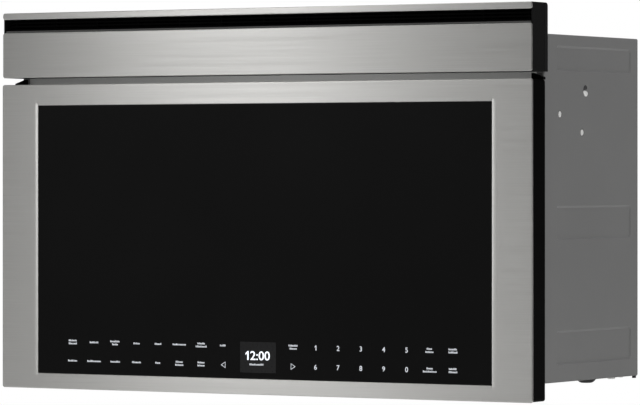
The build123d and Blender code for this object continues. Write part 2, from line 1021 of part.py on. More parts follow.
# Interlock switches under the keepers' roofs
switch_top = keeper_top - keeper_plate - seat
plunger_top = plunger_base + plunger_length
with BuildPart() as interlock_switches:
    for sign in (-1, 1):
        block(
            outward(sign, hook_x - switch_width / 2, hook_x + switch_width / 2),
            (switch_front, switch_front + switch_length),
            (switch_top - switch_tall, switch_top),
        )
        rod_z(
            sign * hook_x,
            plunger_depth,
            (switch_top - switch_tall, plunger_top + plunger_travel + seat),
            plunger_radius + plunger_fit,
            Mode.SUBTRACT,
        )
interlock_switches.part.label = "interlock_switches"
export_step(interlock_switches.part, "parts/interlock_switches.step")

# Plungers of the switches, which both hooks press together
with BuildPart() as switch_plungers:
    for sign in (-1, 1):
        rod_z(sign * hook_x, plunger_depth, (plunger_base, plunger_top), plunger_radius)
    fillet(switch_plungers.edges().group_by(Axis.Z)[0], radius=plunger_radius / 2)
switch_plungers.part.label = "switch_plungers"
export_step(switch_plungers.part, "parts/switch_plungers.step")

# Solenoid that presses the right hook's tab down to release the door, and its plunger
solenoid_front = frame_back + seat
solenoid_top = solenoid_base + solenoid_tall
release_depth = tab_depth + tab_width / 2
release_top = release_base + release_length
with BuildPart() as release_solenoid:
    block(
        (solenoid_x - solenoid_width / 2, solenoid_x + solenoid_width / 2),
        (solenoid_front, solenoid_front + solenoid_length),
        (solenoid_base, solenoid_top),
    )
    rod_z(
        solenoid_x,
        release_depth,
        (solenoid_base, release_top + release_travel + seat),
        release_radius + plunger_fit,
        Mode.SUBTRACT,
    )
release_solenoid.part.label = "release_solenoid"
export_step(release_solenoid.part, "parts/release_solenoid.step")

with BuildPart() as release_plunger:
    rod_z(solenoid_x, release_depth, (release_base, release_top), release_radius)
    fillet(release_plunger.edges().group_by(Axis.Z)[0], radius=release_radius / 3)
release_plunger.part.label = "release_plunger"
export_step(release_plunger.part, "parts/release_plunger.step")

# Front frame of the chassis, which the cavity is welded to
tab_far = hook_near - tab_length - hook_play
with BuildPart() as front_frame:
    block(both_ways(frame_half), (frame_front, frame_back), (frame_base, frame_top))
    front_plate(
        both_ways(cavity_half),
        (frame_front, frame_back),
        (cavity_base, cavity_top),
        front_corner,
        Mode.SUBTRACT,
    )
    for sign in (-1, 1):
        block(
            outward(sign, hinge_x - slot_half, hinge_x + slot_half),
            (frame_front, frame_back),
            (arm_low - bracket_play, arm_high + bracket_play),
            Mode.SUBTRACT,
        )
        block(
            outward(sign, tab_far, hook_far + hook_play),
            (frame_front, frame_back),
            (choke_top, keeper_base + bracket_play),
            Mode.SUBTRACT,
        )
    vent_top = frame_top - vent_window_drop
    for column in range(vent_window_count):
        vent_x = (column - (vent_window_count - 1) / 2) * vent_window_pitch
        block(
            (vent_x - vent_window_width / 2, vent_x + vent_window_width / 2),
            (frame_front, frame_back),
            (vent_top - vent_window_tall, vent_top),
            Mode.SUBTRACT,
        )
front_frame.part.label = "front_frame"
export_step(front_frame.part, "parts/front_frame.step")

# Side panels, each one sheet with a front and a top flange and three pressed bands
panel_bottom = chassis_base + sheet
for side, sign in (("left", -1), ("right", 1)):
    with BuildPart() as side_panel:
        block(
            outward(sign, chassis_half - top_flange, chassis_half),
            (chassis_front, chassis_back),
            (panel_bottom, chassis_top),
        )
        outer = side_panel.faces().sort_by(Axis.X)[0 if sign < 0 else -1]
        front_edge = outer.edges().sort_by(Axis.Y)[0]
        top_edge = outer.edges().sort_by(Axis.Z)[-1]
        fillet([front_edge, top_edge], radius=bend)
        block(
            outward(sign, chassis_half - top_flange, skin_inner),
            (chassis_front + sheet, chassis_back),
            (panel_bottom, cover_top),
            Mode.SUBTRACT,
        )
        block(
            outward(sign, chassis_half - top_flange, chassis_half - front_flange),
            (chassis_front, chassis_front + sheet),
            (panel_bottom, cover_top),
            Mode.SUBTRACT,
        )
        bands = (
            (emboss_low_base, emboss_tall),
            (emboss_middle_base, emboss_tall),
            (emboss_top_base, emboss_top_tall),
        )
        for layer, mode in ((skin_inner, Mode.ADD), (chassis_half, Mode.SUBTRACT)):
            for band_base, band_tall in bands:
                with BuildSketch(Plane.YZ.offset(sign * layer)) as band:
                    with Locations((deep(emboss_front + emboss_length / 2), up(band_base + band_tall / 2))):
                        RectangleRounded(emboss_length, band_tall, front_corner + emboss_deep)
                extrude(
                    band.sketch,
                    amount=emboss_deep,
                    dir=(-sign, 0, 0),
                    taper=emboss_slope,
                    mode=mode,
                )
        rod_x(outward(sign, skin_inner - boss_deep, skin_inner), boss_depth, boss_height, boss_radius + sheet)
        with Locations((sign * (chassis_half - boss_deep + boss_ball), deep(boss_depth), up(boss_height))):
            Sphere(boss_ball, rotation=(0, 0, boss_seam_turn), mode=Mode.SUBTRACT)
        for screw_depth, screw_height in (
            (screw_front_depth, screw_front_height),
            (screw_back_depth, screw_back_height),
        ):
            rod_x(
                outward(sign, skin_inner - dimple_deep, skin_inner),
                screw_depth,
                screw_height,
                dimple_radius + sheet,
            )
            rod_x(
                outward(sign, chassis_half - dimple_deep, chassis_half),
                screw_depth,
                screw_height,
                dimple_radius,
                Mode.SUBTRACT,
            )
            rod_x(
                outward(sign, skin_inner - dimple_deep, chassis_half),
                screw_depth,
                screw_height,
                screw_shank_radius + seat,
                Mode.SUBTRACT,
            )
    side_panel.part.label = f"side_panel_{side}"
    export_step(side_panel.part, f"parts/side_panel_{side}.step")

# Top cover under the side panels' flanges, with the holes for the two cabinet bolts
with BuildPart() as top_cover:
    block(both_ways(frame_half), (frame_front, chassis_back - seat), (cover_base, cover_top))
    for sign in (-1, 1):
        rod_z(sign * bolt_spacing / 2, bolt_depth, (cover_base, cover_top), bolt_radius, Mode.SUBTRACT)
    rod_z(gland_x, gland_depth, (cover_base, cover_top), gland_barrel + pin_fit, Mode.SUBTRACT)
top_cover.part.label = "top_cover"
export_step(top_cover.part, "parts/top_cover.step")

# Bush in the top cover where the supply cord leaves
with BuildPart() as cord_gland:
    rod_z(gland_x, gland_depth, (cover_top, cover_top + gland_flange_tall), gland_flange)
    fillet(cord_gland.edges().group_by(Axis.Z)[-1], radius=front_roll)
    rod_z(gland_x, gland_depth, (cover_top - gland_length, cover_top), gland_barrel)
    rod_z(
        gland_x,
        gland_depth,
        (cover_top - gland_length, cover_top + gland_flange_tall),
        gland_bore,
        Mode.SUBTRACT,
    )
cord_gland.part.label = "cord_gland"
export_step(cord_gland.part, "parts/cord_gland.step")

# Base plate with air intake slots under the rear
with BuildPart() as base_plate:
    block(both_ways(chassis_half), (chassis_front, chassis_back), (chassis_base, chassis_base + sheet))
    for row in range(intake_rows):
        for column in range(intake_columns):
            slot_x = (column - (intake_columns - 1) / 2) * intake_pitch_x
            slot_depth = intake_depth + (row - (intake_rows - 1) / 2) * intake_pitch_y
            block(
                (slot_x - intake_slot_length / 2, slot_x + intake_slot_length / 2),
                (slot_depth - intake_slot_width / 2, slot_depth + intake_slot_width / 2),
                (chassis_base, chassis_base + sheet),
                Mode.SUBTRACT,
            )
base_plate.part.label = "base_plate"
export_step(base_plate.part, "parts/base_plate.step")

# Back plate with two slots that drop over the tabs of a wall plate
with BuildPart() as back_plate:
    front_plate(both_ways(chassis_half), (chassis_back, unit_depth), (chassis_base, chassis_top), bend)
    for sign in (-1, 1):
        with BuildSketch(Plane.XZ.offset(-deep(unit_depth))) as wall_slot:
            with Locations((sign * wall_slot_spacing / 2, up(wall_slot_height))):
                SlotOverall(wall_slot_length, 2 * wall_slot_radius)
        extrude(wall_slot.sketch, amount=sheet, dir=(0, -1, 0), mode=Mode.SUBTRACT)
back_plate.part.label = "back_plate"
export_step(back_plate.part, "parts/back_plate.step")

# Screws in the dimples of the side panels, and washer-head screws and rivets under the base
with BuildPart() as chassis_fasteners:
    for sign in (-1, 1):
        rod_z(
            sign * (chassis_half - washer_screw_inset),
            washer_screw_depth,
            (chassis_base - washer_screw_tall, chassis_base),
            washer_screw_radius,
        )
        rod_z(
            sign * (chassis_half - rivet_inset),
            rivet_depth,
            (chassis_base - rivet_tall, chassis_base),
            rivet_radius,
        )
    heads = chassis_fasteners.edges().filter_by(GeomType.CIRCLE)
    fillet(heads.filter_by(lambda rim: rim.center().Z < up(chassis_base) - seat), radius=front_roll)
    for sign in (-1, 1):
        for screw_depth, screw_height in (
            (screw_front_depth, screw_front_height),
            (screw_back_depth, screw_back_height),
        ):
            head_back = chassis_half - dimple_deep
            rod_x(
                outward(sign, head_back, head_back + screw_head_tall),
                screw_depth,
                screw_height,
                screw_head_radius,
            )
            rod_x(
                outward(sign, head_back - screw_shank_length, head_back),
                screw_depth,
                screw_height,
                screw_shank_radius,
            )
chassis_fasteners.part.label = "chassis_fasteners"
export_step(chassis_fasteners.part, "parts/chassis_fasteners.step")

# Rubber under the base: a domed pad near each side and a bumper at each rear corner
with BuildPart() as base_rubbers:
    for sign in (-1, 1):
        pad_x = sign * (chassis_half - pad_inset)
        with BuildSketch(Plane.XZ.offset(-deep(pad_depth))) as half_pad:
            with BuildLine():
                Line((pad_x, up(chassis_base)), (pad_x + pad_radius, up(chassis_base)))
                Bezier(
                    (pad_x + pad_radius, up(chassis_base)),
                    (pad_x + (pad_radius + pad_flat) / 2, up(chassis_base - pad_tall)),
                    (pad_x + pad_flat, up(chassis_base - pad_tall)),
                )
                Line((pad_x + pad_flat, up(chassis_base - pad_tall)), (pad_x, up(chassis_base - pad_tall)))
                Line((pad_x, up(chassis_base - pad_tall)), (pad_x, up(chassis_base)))
            make_face()
        revolve(half_pad.sketch, axis=Axis((pad_x, deep(pad_depth), 0), (0, 0, 1)))
        block(
            outward(sign, chassis_half - bumper_width, chassis_half),
            (bumper_back - bumper_length, bumper_back),
            (chassis_base - bumper_tall, chassis_base),
        )
base_rubbers.part.label = "base_rubbers"
export_step(base_rubbers.part, "parts/base_rubbers.step")

# Cavity wrap: the ceiling and both side walls, bent from one sheet
lamp_wall = (cavity_half, side_wall_x)
fan_wall = (-side_wall_x, -cavity_half)
with BuildPart() as cavity_wrap:
    block(both_ways(side_wall_x), (frame_back, cavity_back), (cavity_base, ceiling_top))
    block(both_ways(cavity_half), (frame_back, cavity_back), (cavity_base, cavity_top), Mode.SUBTRACT)
    for sign in (-1, 1):
        for level in range(2):
            rail_height = floor_plate_top + rail_low + level * rail_pitch
            block(
                outward(sign, cavity_half - rail_proud, cavity_half),
                (frame_back + rail_end, cavity_back - rail_end),
                (rail_height, rail_height + rail_tall),
            )
    rod_x(lamp_wall, lamp_depth, lamp_height, lamp_hole, Mode.SUBTRACT)
    rod_x(lamp_wall, probe_depth, probe_height, probe_barrel + seat, Mode.SUBTRACT)
    rod_x(fan_wall, convection_depth, convection_height, perforation_radius, Mode.SUBTRACT)
    for ring in range(1, perforation_rings + 1):
        with BuildSketch(Plane.YZ.offset(fan_wall[0])) as holes:
            with Locations((deep(convection_depth), up(convection_height))):
                with PolarLocations(ring * perforation_pitch, 6 * ring):
                    Circle(perforation_radius)
        extrude(holes.sketch, amount=sheet, mode=Mode.SUBTRACT)
cavity_wrap.part.label = "cavity_wrap"
export_step(cavity_wrap.part, "parts/cavity_wrap.step")

# Cavity floor, with a well for the stirrer
with BuildPart() as cavity_floor:
    block(both_ways(side_wall_x), (frame_back, cavity_back), (cavity_base - sheet, cavity_base))
    block(
        both_ways(well_half + sheet),
        (well_front - sheet, well_back + sheet),
        (well_floor - sheet, cavity_base - sheet),
    )
    block(both_ways(well_half), (well_front, well_back), (well_floor, cavity_base), Mode.SUBTRACT)
    rod_z(0, well_depth, (well_floor - sheet, well_floor), coupling_radius, Mode.SUBTRACT)
cavity_floor.part.label = "cavity_floor"
export_step(cavity_floor.part, "parts/cavity_floor.step")

# Cavity back, with holes for the element's ends and the temperature sensor
with BuildPart() as cavity_rear:
    block(
        both_ways(side_wall_x),
        (cavity_back, cavity_back + sheet),
        (cavity_base - sheet, ceiling_top),
    )
    for sign in (-1, 1):
        rod_y(
            sign * broil_inner,
            (cavity_back, cavity_back + sheet),
            broil_height,
            broil_tube + clip_fit,
            Mode.SUBTRACT,
        )
    rod_y(
        sensor_x,
        (cavity_back, cavity_back + sheet),
        broil_height,
        sensor_radius + clip_fit,
        Mode.SUBTRACT,
    )
cavity_rear.part.label = "cavity_rear"
export_step(cavity_rear.part, "parts/cavity_rear.step")

# Flat ceramic floor over the stirrer
with BuildPart() as floor_plate:
    block(
        both_ways(cavity_half - floor_plate_gap),
        (frame_back + floor_plate_gap, cavity_back - floor_plate_gap),
        (cavity_base, floor_plate_top),
    )
    fillet(floor_plate.edges().filter_by(Axis.Z), radius=front_corner)
floor_plate.part.label = "floor_plate"
export_step(floor_plate.part, "parts/floor_plate.step")

# Waveguide under the cavity, from the magnetron to the stirrer's well
guide_front = well_depth - waveguide_width / 2
guide_back = well_depth + waveguide_width / 2
with BuildPart() as waveguide:
    block(
        (-waveguide_left, waveguide_right),
        (guide_front, guide_back),
        (waveguide_base, waveguide_top),
    )
    block(
        (-waveguide_left + sheet, waveguide_right - sheet),
        (guide_front + sheet, guide_back - sheet),
        (waveguide_base + sheet, waveguide_top - sheet),
        Mode.SUBTRACT,
    )
    rod_z(0, well_depth, (waveguide_top - sheet, waveguide_top), coupling_radius, Mode.SUBTRACT)
    rod_z(magnetron_x, well_depth, (waveguide_top - sheet, waveguide_top), antenna_radius + seat,
          Mode.SUBTRACT)
    rod_z(0, well_depth, (waveguide_base, waveguide_base + sheet), stirrer_shaft + shaft_clear,
          Mode.SUBTRACT)
waveguide.part.label = "waveguide"
export_step(waveguide.part, "parts/waveguide.step")

# Stirrer: a slotted metal disc on a shaft that turns in the well
stirrer_top = stirrer_plate_base + stirrer_sheet
with BuildPart() as stirrer:
    rod_z(0, well_depth, (stirrer_plate_base, stirrer_top), stirrer_radius)
    with BuildSketch(Plane.XY.offset(up(stirrer_plate_base))) as cut_outs:
        with Locations((0, deep(well_depth))):
            with PolarLocations(stirrer_radius * 0.62, 3):
                SlotOverall(stirrer_radius * 0.5, stirrer_radius * 0.2, rotation=90)
    extrude(cut_outs.sketch, amount=stirrer_sheet, mode=Mode.SUBTRACT)
    rod_z(0, well_depth, (stirrer_plate_base - stirrer_sheet, stirrer_top + stirrer_sheet), stirrer_hub)
    rod_z(0, well_depth, (waveguide_base - shaft_in_motor, stirrer_top), stirrer_shaft)
stirrer.part.label = "stirrer"
export_step(stirrer.part, "parts/stirrer.step")

# Motor of the stirrer, under the waveguide
with BuildPart() as stirrer_motor:
    rod_z(0, well_depth, (stirrer_motor_base, waveguide_base), stirrer_motor_radius)
    fillet(stirrer_motor.edges().group_by(Axis.Z)[0], radius=front_roll)
    rod_z(
        0,
        well_depth,
        (waveguide_base - shaft_in_motor - seat, waveguide_base),
        stirrer_shaft + shaft_fit,
        Mode.SUBTRACT,
    )
stirrer_motor.part.label = "stirrer_motor"
export_step(stirrer_motor.part, "parts/stirrer_motor.step")

# Magnetron on the waveguide's right end: base, anode, cooling fins, filter box and antenna
fins_base = waveguide_top + magnetron_base + fin_rise
fins_top = fins_base + (fin_count - 1) * fin_pitch + fin_sheet
magnetron_half = magnetron_width / 2
magnetron_front = well_depth - magnetron_length / 2
magnetron_back = well_depth + magnetron_length / 2
magnetron_span = (magnetron_x - magnetron_half, magnetron_x + magnetron_half)
with BuildPart() as magnetron:
    block(magnetron_span, (magnetron_front, magnetron_back), (waveguide_top, waveguide_top + magnetron_base))
    rod_z(magnetron_x, well_depth, (waveguide_top, fins_top), anode_radius)
    for fin in range(fin_count):
        fin_base = fins_base + fin * fin_pitch
        block(magnetron_span, (magnetron_front, magnetron_back), (fin_base, fin_base + fin_sheet))
    for edge in (magnetron_front, magnetron_back - magnetron_base):
        block(
            (magnetron_x - anode_radius, magnetron_x + anode_radius),
            (edge, edge + magnetron_base),
            (waveguide_top, fins_top),
        )
    block(
        (magnetron_x - filter_width / 2, magnetron_x + filter_width / 2),
        (well_depth - filter_width / 2, well_depth + filter_width / 2),
        (fins_top, fins_top + filter_tall),
    )
    rod_z(magnetron_x, well_depth, (waveguide_top - antenna_length, waveguide_top), antenna_radius)
magnetron.part.label = "magnetron"
export_step(magnetron.part, "parts/magnetron.step")

# Convection chamber outside the left wall of the cavity
chamber_half = convection_side / 2
leg_angle = radians(ring_opening / 2)
leg_spread = ring_radius * sin(leg_angle)
leg_height = convection_height - ring_radius * cos(leg_angle)
with BuildPart() as convection_chamber:
    block(
        (-convection_wall, -side_wall_x),
        (convection_depth - chamber_half, convection_depth + chamber_half),
        (convection_height - chamber_half, convection_height + chamber_half),
    )
    block(
        (-convection_wall + sheet, -side_wall_x),
        (convection_depth - chamber_half + sheet, convection_depth + chamber_half - sheet),
        (convection_height - chamber_half + sheet, convection_height + chamber_half - sheet),
        Mode.SUBTRACT,
    )
    back_wall = (-convection_wall, -convection_wall + sheet)
    rod_x(back_wall, convection_depth, convection_height, fan_shaft_radius + shaft_clear, Mode.SUBTRACT)
    for sign in (-1, 1):
        rod_x(
            back_wall,
            convection_depth + sign * leg_spread,
            leg_height,
            ring_sleeve + clip_fit,
            Mode.SUBTRACT,
        )
convection_chamber.part.label = "convection_chamber"
export_step(convection_chamber.part, "parts/convection_chamber.step")

# Convection fan: back plate, blades, hub and shaft
motor_near = convection_wall + seat
with BuildPart() as convection_fan:
    rod_x((-fan_back, -fan_back + fan_plate), convection_depth, convection_height, fan_radius)
    with BuildSketch(Plane.YZ.offset(-fan_back)) as blades:
        with Locations((deep(convection_depth), up(convection_height))):
            with PolarLocations(fan_radius * 0.6, fan_blades):
                Rectangle(fan_radius * 0.7, fan_plate)
    extrude(blades.sketch, amount=fan_plate + fan_blade)
    rod_x((-fan_back, -fan_front), convection_depth, convection_height, fan_shaft_radius * 3)
    rod_x(
        (-motor_near - fan_motor_length / 2, -fan_back),
        convection_depth,
        convection_height,
        fan_shaft_radius,
    )
convection_fan.part.label = "convection_fan"
export_step(convection_fan.part, "parts/convection_fan.step")

# Motor of the convection fan
with BuildPart() as convection_motor:
    rod_x(
        (-motor_near - fan_motor_length, -motor_near),
        convection_depth,
        convection_height,
        fan_motor_radius,
    )
    fillet(convection_motor.edges().group_by(Axis.X)[0], radius=front_corner)
    rod_x(
        (-motor_near - fan_motor_length / 2 - seat, -motor_near),
        convection_depth,
        convection_height,
        fan_shaft_radius + shaft_fit,
        Mode.SUBTRACT,
    )
convection_motor.part.label = "convection_motor"
export_step(convection_motor.part, "parts/convection_motor.step")

# Ring heater round the fan, with two legs through the chamber's outer wall
ring_x = -(side_wall_x + ring_set)
with BuildPart() as convection_heater:
    ring_start = (ring_x, deep(convection_depth + leg_spread), up(leg_height))
    ring_plane = Plane(ring_start, x_dir=(1, 0, 0), z_dir=(0, cos(leg_angle), sin(leg_angle)))
    with BuildSketch(ring_plane) as ring_section:
        Circle(ring_tube)
    ring_axis = Axis((ring_x, deep(convection_depth), up(convection_height)), (1, 0, 0))
    revolve(ring_section.sketch, axis=ring_axis, revolution_arc=360 - ring_opening)
    for sign in (-1, 1):
        rod_x(
            (-convection_wall - ring_leg, ring_x + ring_sleeve),
            convection_depth + sign * leg_spread,
            leg_height,
            ring_sleeve,
        )
convection_heater.part.label = "convection_heater"
export_step(convection_heater.part, "parts/convection_heater.step")

# Broil element under the ceiling: one bent tube whose two ends leave through the back wall
broil_near = frame_back + broil_front
broil_mid = frame_back + broil_turn
broil_far = frame_back + broil_back
broil_end = cavity_back + sheet + broil_tail
half_route = [
    (broil_inner, broil_end),
    (broil_inner, broil_mid),
    (broil_middle, broil_mid),
    (broil_middle, broil_far),
    (broil_outer, broil_far),
    (broil_outer, broil_near),
]
broil_route = [(-x, deep(depth)) for x, depth in half_route]
broil_route += [(x, deep(depth)) for x, depth in reversed(half_route)]
with BuildPart() as broil_element:
    with BuildLine(Plane.XY.offset(up(broil_height))) as broil_path:
        FilletPolyline(*broil_route, radius=broil_bend)
    broil_start = broil_path.line @ 0
    with BuildSketch(Plane(origin=broil_start, z_dir=broil_path.line % 0)) as broil_section:
        Circle(broil_tube)
    sweep(broil_section.sketch, path=broil_path.line)
broil_element.part.label = "broil_element"
export_step(broil_element.part, "parts/broil_element.step")

# Clips that hang the broil element from the ceiling
clip_depth_back = frame_back + clip_back
with BuildPart() as element_clips:
    for clip_x in (-broil_outer, -broil_middle, broil_middle, broil_outer):
        block(
            (clip_x - clip_width / 2, clip_x + clip_width / 2),
            (clip_depth_back, clip_depth_back + clip_depth),
            (broil_height - broil_tube - 2 * sheet, cavity_top),
        )
        rod_y(
            clip_x,
            (clip_depth_back, clip_depth_back + clip_depth),
            broil_height,
            broil_tube + clip_fit,
            Mode.SUBTRACT,
        )
element_clips.part.label = "element_clips"
export_step(element_clips.part, "parts/element_clips.step")

# Cavity lamp: lens over the hole in the right wall, cup behind it and the bulb inside
lens_far = side_wall_x + lens_thickness
cup_far = lens_far + lamp_cup_length
with BuildPart() as lamp_lens:
    rod_x((side_wall_x, lens_far), lamp_depth, lamp_height, lens_radius)
lamp_lens.part.label = "lamp_lens"
export_step(lamp_lens.part, "parts/lamp_lens.step")

with BuildPart() as lamp_cup:
    rod_x((side_wall_x, cup_far), lamp_depth, lamp_height, lamp_cup_radius)
    rod_x(
        (side_wall_x, lens_far),
        lamp_depth,
        lamp_height,
        lens_radius + clip_fit,
        Mode.SUBTRACT,
    )
    rod_x(
        (lens_far, cup_far - lamp_cup_wall),
        lamp_depth,
        lamp_height,
        lamp_cup_radius - lamp_cup_wall - sheet,
        Mode.SUBTRACT,
    )
lamp_cup.part.label = "lamp_cup"
export_step(lamp_cup.part, "parts/lamp_cup.step")

with BuildPart() as lamp_bulb:
    bulb_end = cup_far - lamp_cup_wall
    rod_x((bulb_end - bulb_length, bulb_end), lamp_depth, lamp_height, bulb_radius)
    fillet(lamp_bulb.edges().group_by(Axis.X)[0], radius=bulb_radius - sheet)
lamp_bulb.part.label = "lamp_bulb"
export_step(lamp_bulb.part, "parts/lamp_bulb.step")

# Socket for a food probe in the right wall
with BuildPart() as probe_socket:
    rod_x(
        (cavity_half - probe_flange_thickness, cavity_half),
        probe_depth,
        probe_height,
        probe_flange,
    )
    rod_x(
        (cavity_half, cavity_half - probe_flange_thickness + probe_length + probe_flange_thickness),
        probe_depth,
        probe_height,
        probe_barrel,
    )
    rod_x(
        (cavity_half - probe_flange_thickness, cavity_half - probe_flange_thickness + probe_length),
        probe_depth,
        probe_height,
        probe_bore,
        Mode.SUBTRACT,
    )
probe_socket.part.label = "probe_socket"
export_step(probe_socket.part, "parts/probe_socket.step")

# Temperature sensor through the back wall of the cavity
sensor_seat = cavity_back + sheet
with BuildPart() as temperature_sensor:
    rod_y(sensor_x, (cavity_back - sensor_reach, sensor_seat), broil_height, sensor_radius)
    fillet(temperature_sensor.edges().group_by(Axis.Y)[0], radius=sensor_radius / 2)
    rod_y(sensor_x, (sensor_seat, sensor_seat + probe_flange_thickness), broil_height, sensor_flange)
    rod_y(
        sensor_x,
        (sensor_seat + probe_flange_thickness, sensor_seat + probe_flange_thickness + sensor_head),
        broil_height,
        2 * sensor_radius,
    )
temperature_sensor.part.label = "temperature_sensor"
export_step(temperature_sensor.part, "parts/temperature_sensor.step")

# Cooling blower beside the cavity: scroll housing, wheel and motor
blower_near = side_wall_x + seat
blower_far = blower_near + blower_wide
blower_half = blower_side / 2
chamber_radius = blower_wheel_radius + blower_wheel_gap
with BuildPart() as blower_housing:
    with BuildSketch(Plane.YZ.offset(blower_near)) as scroll:
        with Locations((deep(blower_depth), up(blower_height))):
            RectangleRounded(blower_side, blower_side, blower_half / 2)
    extrude(scroll.sketch, amount=blower_wide)
    rod_x(
        (blower_near + blower_wall, blower_far - blower_wall),
        blower_depth,
        blower_height,
        chamber_radius,
        Mode.SUBTRACT,
    )
    rod_x(
        (blower_far - blower_wall, blower_far),
        blower_depth,
        blower_height,
        blower_inlet,
        Mode.SUBTRACT,
    )
    block(
        (blower_near + blower_wall, blower_far - blower_wall),
        (blower_depth, blower_depth + blower_mouth),
        (blower_height - blower_half, blower_height),
        Mode.SUBTRACT,
    )
blower_housing.part.label = "blower_housing"
export_step(blower_housing.part, "parts/blower_housing.step")

wheel_near = blower_near + blower_wall + blower_wheel_gap
wheel_far = blower_far - blower_wall - blower_wheel_gap
blower_motor_near = blower_far + blower_wheel_gap
with BuildPart() as blower_wheel:
    rod_x((wheel_near, wheel_near + blower_wall), blower_depth, blower_height, blower_wheel_radius)
    with BuildSketch(Plane.YZ.offset(wheel_near)) as wheel_blades:
        with Locations((deep(blower_depth), up(blower_height))):
            with PolarLocations(blower_wheel_radius - blower_blade_chord / 2, blower_blades):
                Rectangle(blower_blade_chord, sheet, rotation=30)
    extrude(wheel_blades.sketch, amount=wheel_far - wheel_near)
    rod_x((wheel_far - blower_wall, wheel_far), blower_depth, blower_height, blower_wheel_radius)
    rod_x(
        (wheel_far - blower_wall, wheel_far),
        blower_depth,
        blower_height,
        blower_inlet,
        Mode.SUBTRACT,
    )
    rod_x(
        (wheel_near, blower_motor_near + blower_motor_length / 2),
        blower_depth,
        blower_height,
        blower_shaft,
    )
blower_wheel.part.label = "blower_wheel"
export_step(blower_wheel.part, "parts/blower_wheel.step")

# Motor of the blower, on three legs that stand on the housing
with BuildPart() as blower_motor:
    rod_x(
        (blower_motor_near, blower_motor_near + blower_motor_length),
        blower_depth,
        blower_height,
        blower_motor_radius,
    )
    leg_reach = blower_inlet + blower_wheel_gap
    with BuildSketch(Plane.YZ.offset(blower_motor_near)) as arms:
        with Locations((deep(blower_depth), up(blower_height))):
            with PolarLocations(leg_reach / 2, 3):
                Rectangle(leg_reach + stud_radius, 2 * stud_radius)
    extrude(arms.sketch, amount=blower_wall)
    with BuildSketch(Plane.YZ.offset(blower_far)) as legs:
        with Locations((deep(blower_depth), up(blower_height))):
            with PolarLocations(leg_reach, 3):
                Circle(stud_radius)
    extrude(legs.sketch, amount=blower_wheel_gap + blower_wall)
    rod_x(
        (blower_motor_near, blower_motor_near + blower_motor_length / 2 + seat),
        blower_depth,
        blower_height,
        blower_shaft + shaft_fit,
        Mode.SUBTRACT,
    )
blower_motor.part.label = "blower_motor"
export_step(blower_motor.part, "parts/blower_motor.step")


def board(xs, depths):
    """A circuit board on four studs that stand on the cavity's ceiling."""
    block(xs, depths, (board_base, board_base + board_thickness))
    inset = 2 * stud_radius
    for stud_x in (xs[0] + inset, xs[1] - inset):
        for stud_depth in (depths[0] + inset, depths[1] - inset):
            rod_z(stud_x, stud_depth, (ceiling_top, board_base), stud_radius)


# Inverter that feeds the magnetron: board, transformer and heatsink
parts_base = board_base + board_thickness
with BuildPart() as inverter:
    board(
        (inverter_left, inverter_left + inverter_width),
        (inverter_front, inverter_front + inverter_length),
    )
    coil_left = inverter_left + inverter_width - inverter_coil - 4 * stud_radius
    coil_front = inverter_front + 4 * stud_radius
    block(
        (coil_left, coil_left + inverter_coil),
        (coil_front, coil_front + inverter_coil),
        (parts_base, parts_base + inverter_coil_tall),
    )
    rod_z(
        coil_left + inverter_coil / 2,
        coil_front + inverter_coil / 2,
        (parts_base, parts_base + inverter_coil_tall + 2 * stud_radius),
        inverter_coil / 3,
    )
    for fin in range(6):
        fin_left = inverter_left + 4 * stud_radius + fin * 2 * stud_radius
        block(
            (fin_left, fin_left + board_thickness),
            (coil_front, coil_front + inverter_coil),
            (parts_base, parts_base + heatsink_tall),
        )
    block(
        (inverter_left + 4 * stud_radius, fin_left + board_thickness),
        (coil_front, coil_front + inverter_coil),
        (parts_base, parts_base + 2 * board_thickness),
    )
inverter.part.label = "inverter"
export_step(inverter.part, "parts/inverter.step")

# Main control board with a row of relays
with BuildPart() as control_board:
    board(
        (control_left, control_left + control_width),
        (control_front, control_front + control_length),
    )
    relay_pitch = control_width / relay_count
    for relay in range(relay_count):
        relay_left = control_left + relay * relay_pitch + (relay_pitch - relay_side) / 2
        block(
            (relay_left, relay_left + relay_side),
            (control_front + 4 * stud_radius, control_front + 4 * stud_radius + relay_side),
            (parts_base, parts_base + relay_tall),
        )
control_board.part.label = "control_board"
export_step(control_board.part, "parts/control_board.step")

# Line filter between the cord and the other boards
with BuildPart() as line_filter:
    board(
        (filter_board_left, filter_board_left + filter_board_width),
        (filter_board_front, filter_board_front + filter_board_length),
    )
    rod_z(
        filter_board_left + filter_board_width / 2,
        filter_board_front + filter_board_length / 2,
        (parts_base, parts_base + choke_coil_tall),
        choke_coil_radius,
    )
line_filter.part.label = "line_filter"
export_step(line_filter.part, "parts/line_filter.step")

# Thermal cut-outs on the ceiling, the convection chamber and the magnetron
with BuildPart() as thermal_cutouts:
    rod_z(cutout_x, cutout_depth, (ceiling_top, ceiling_top + cutout_tall), cutout_radius)
    rod_x(
        (-convection_wall - cutout_tall, -convection_wall),
        convection_depth + chamber_half - 2 * cutout_radius,
        convection_height + chamber_half - 2 * cutout_radius,
        cutout_radius,
    )
    rod_z(
        magnetron_x,
        well_depth,
        (fins_top + filter_tall, fins_top + filter_tall + cutout_tall),
        cutout_radius,
    )
thermal_cutouts.part.label = "thermal_cutouts"
export_step(thermal_cutouts.part, "parts/thermal_cutouts.step")
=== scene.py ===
import json
import math
import random

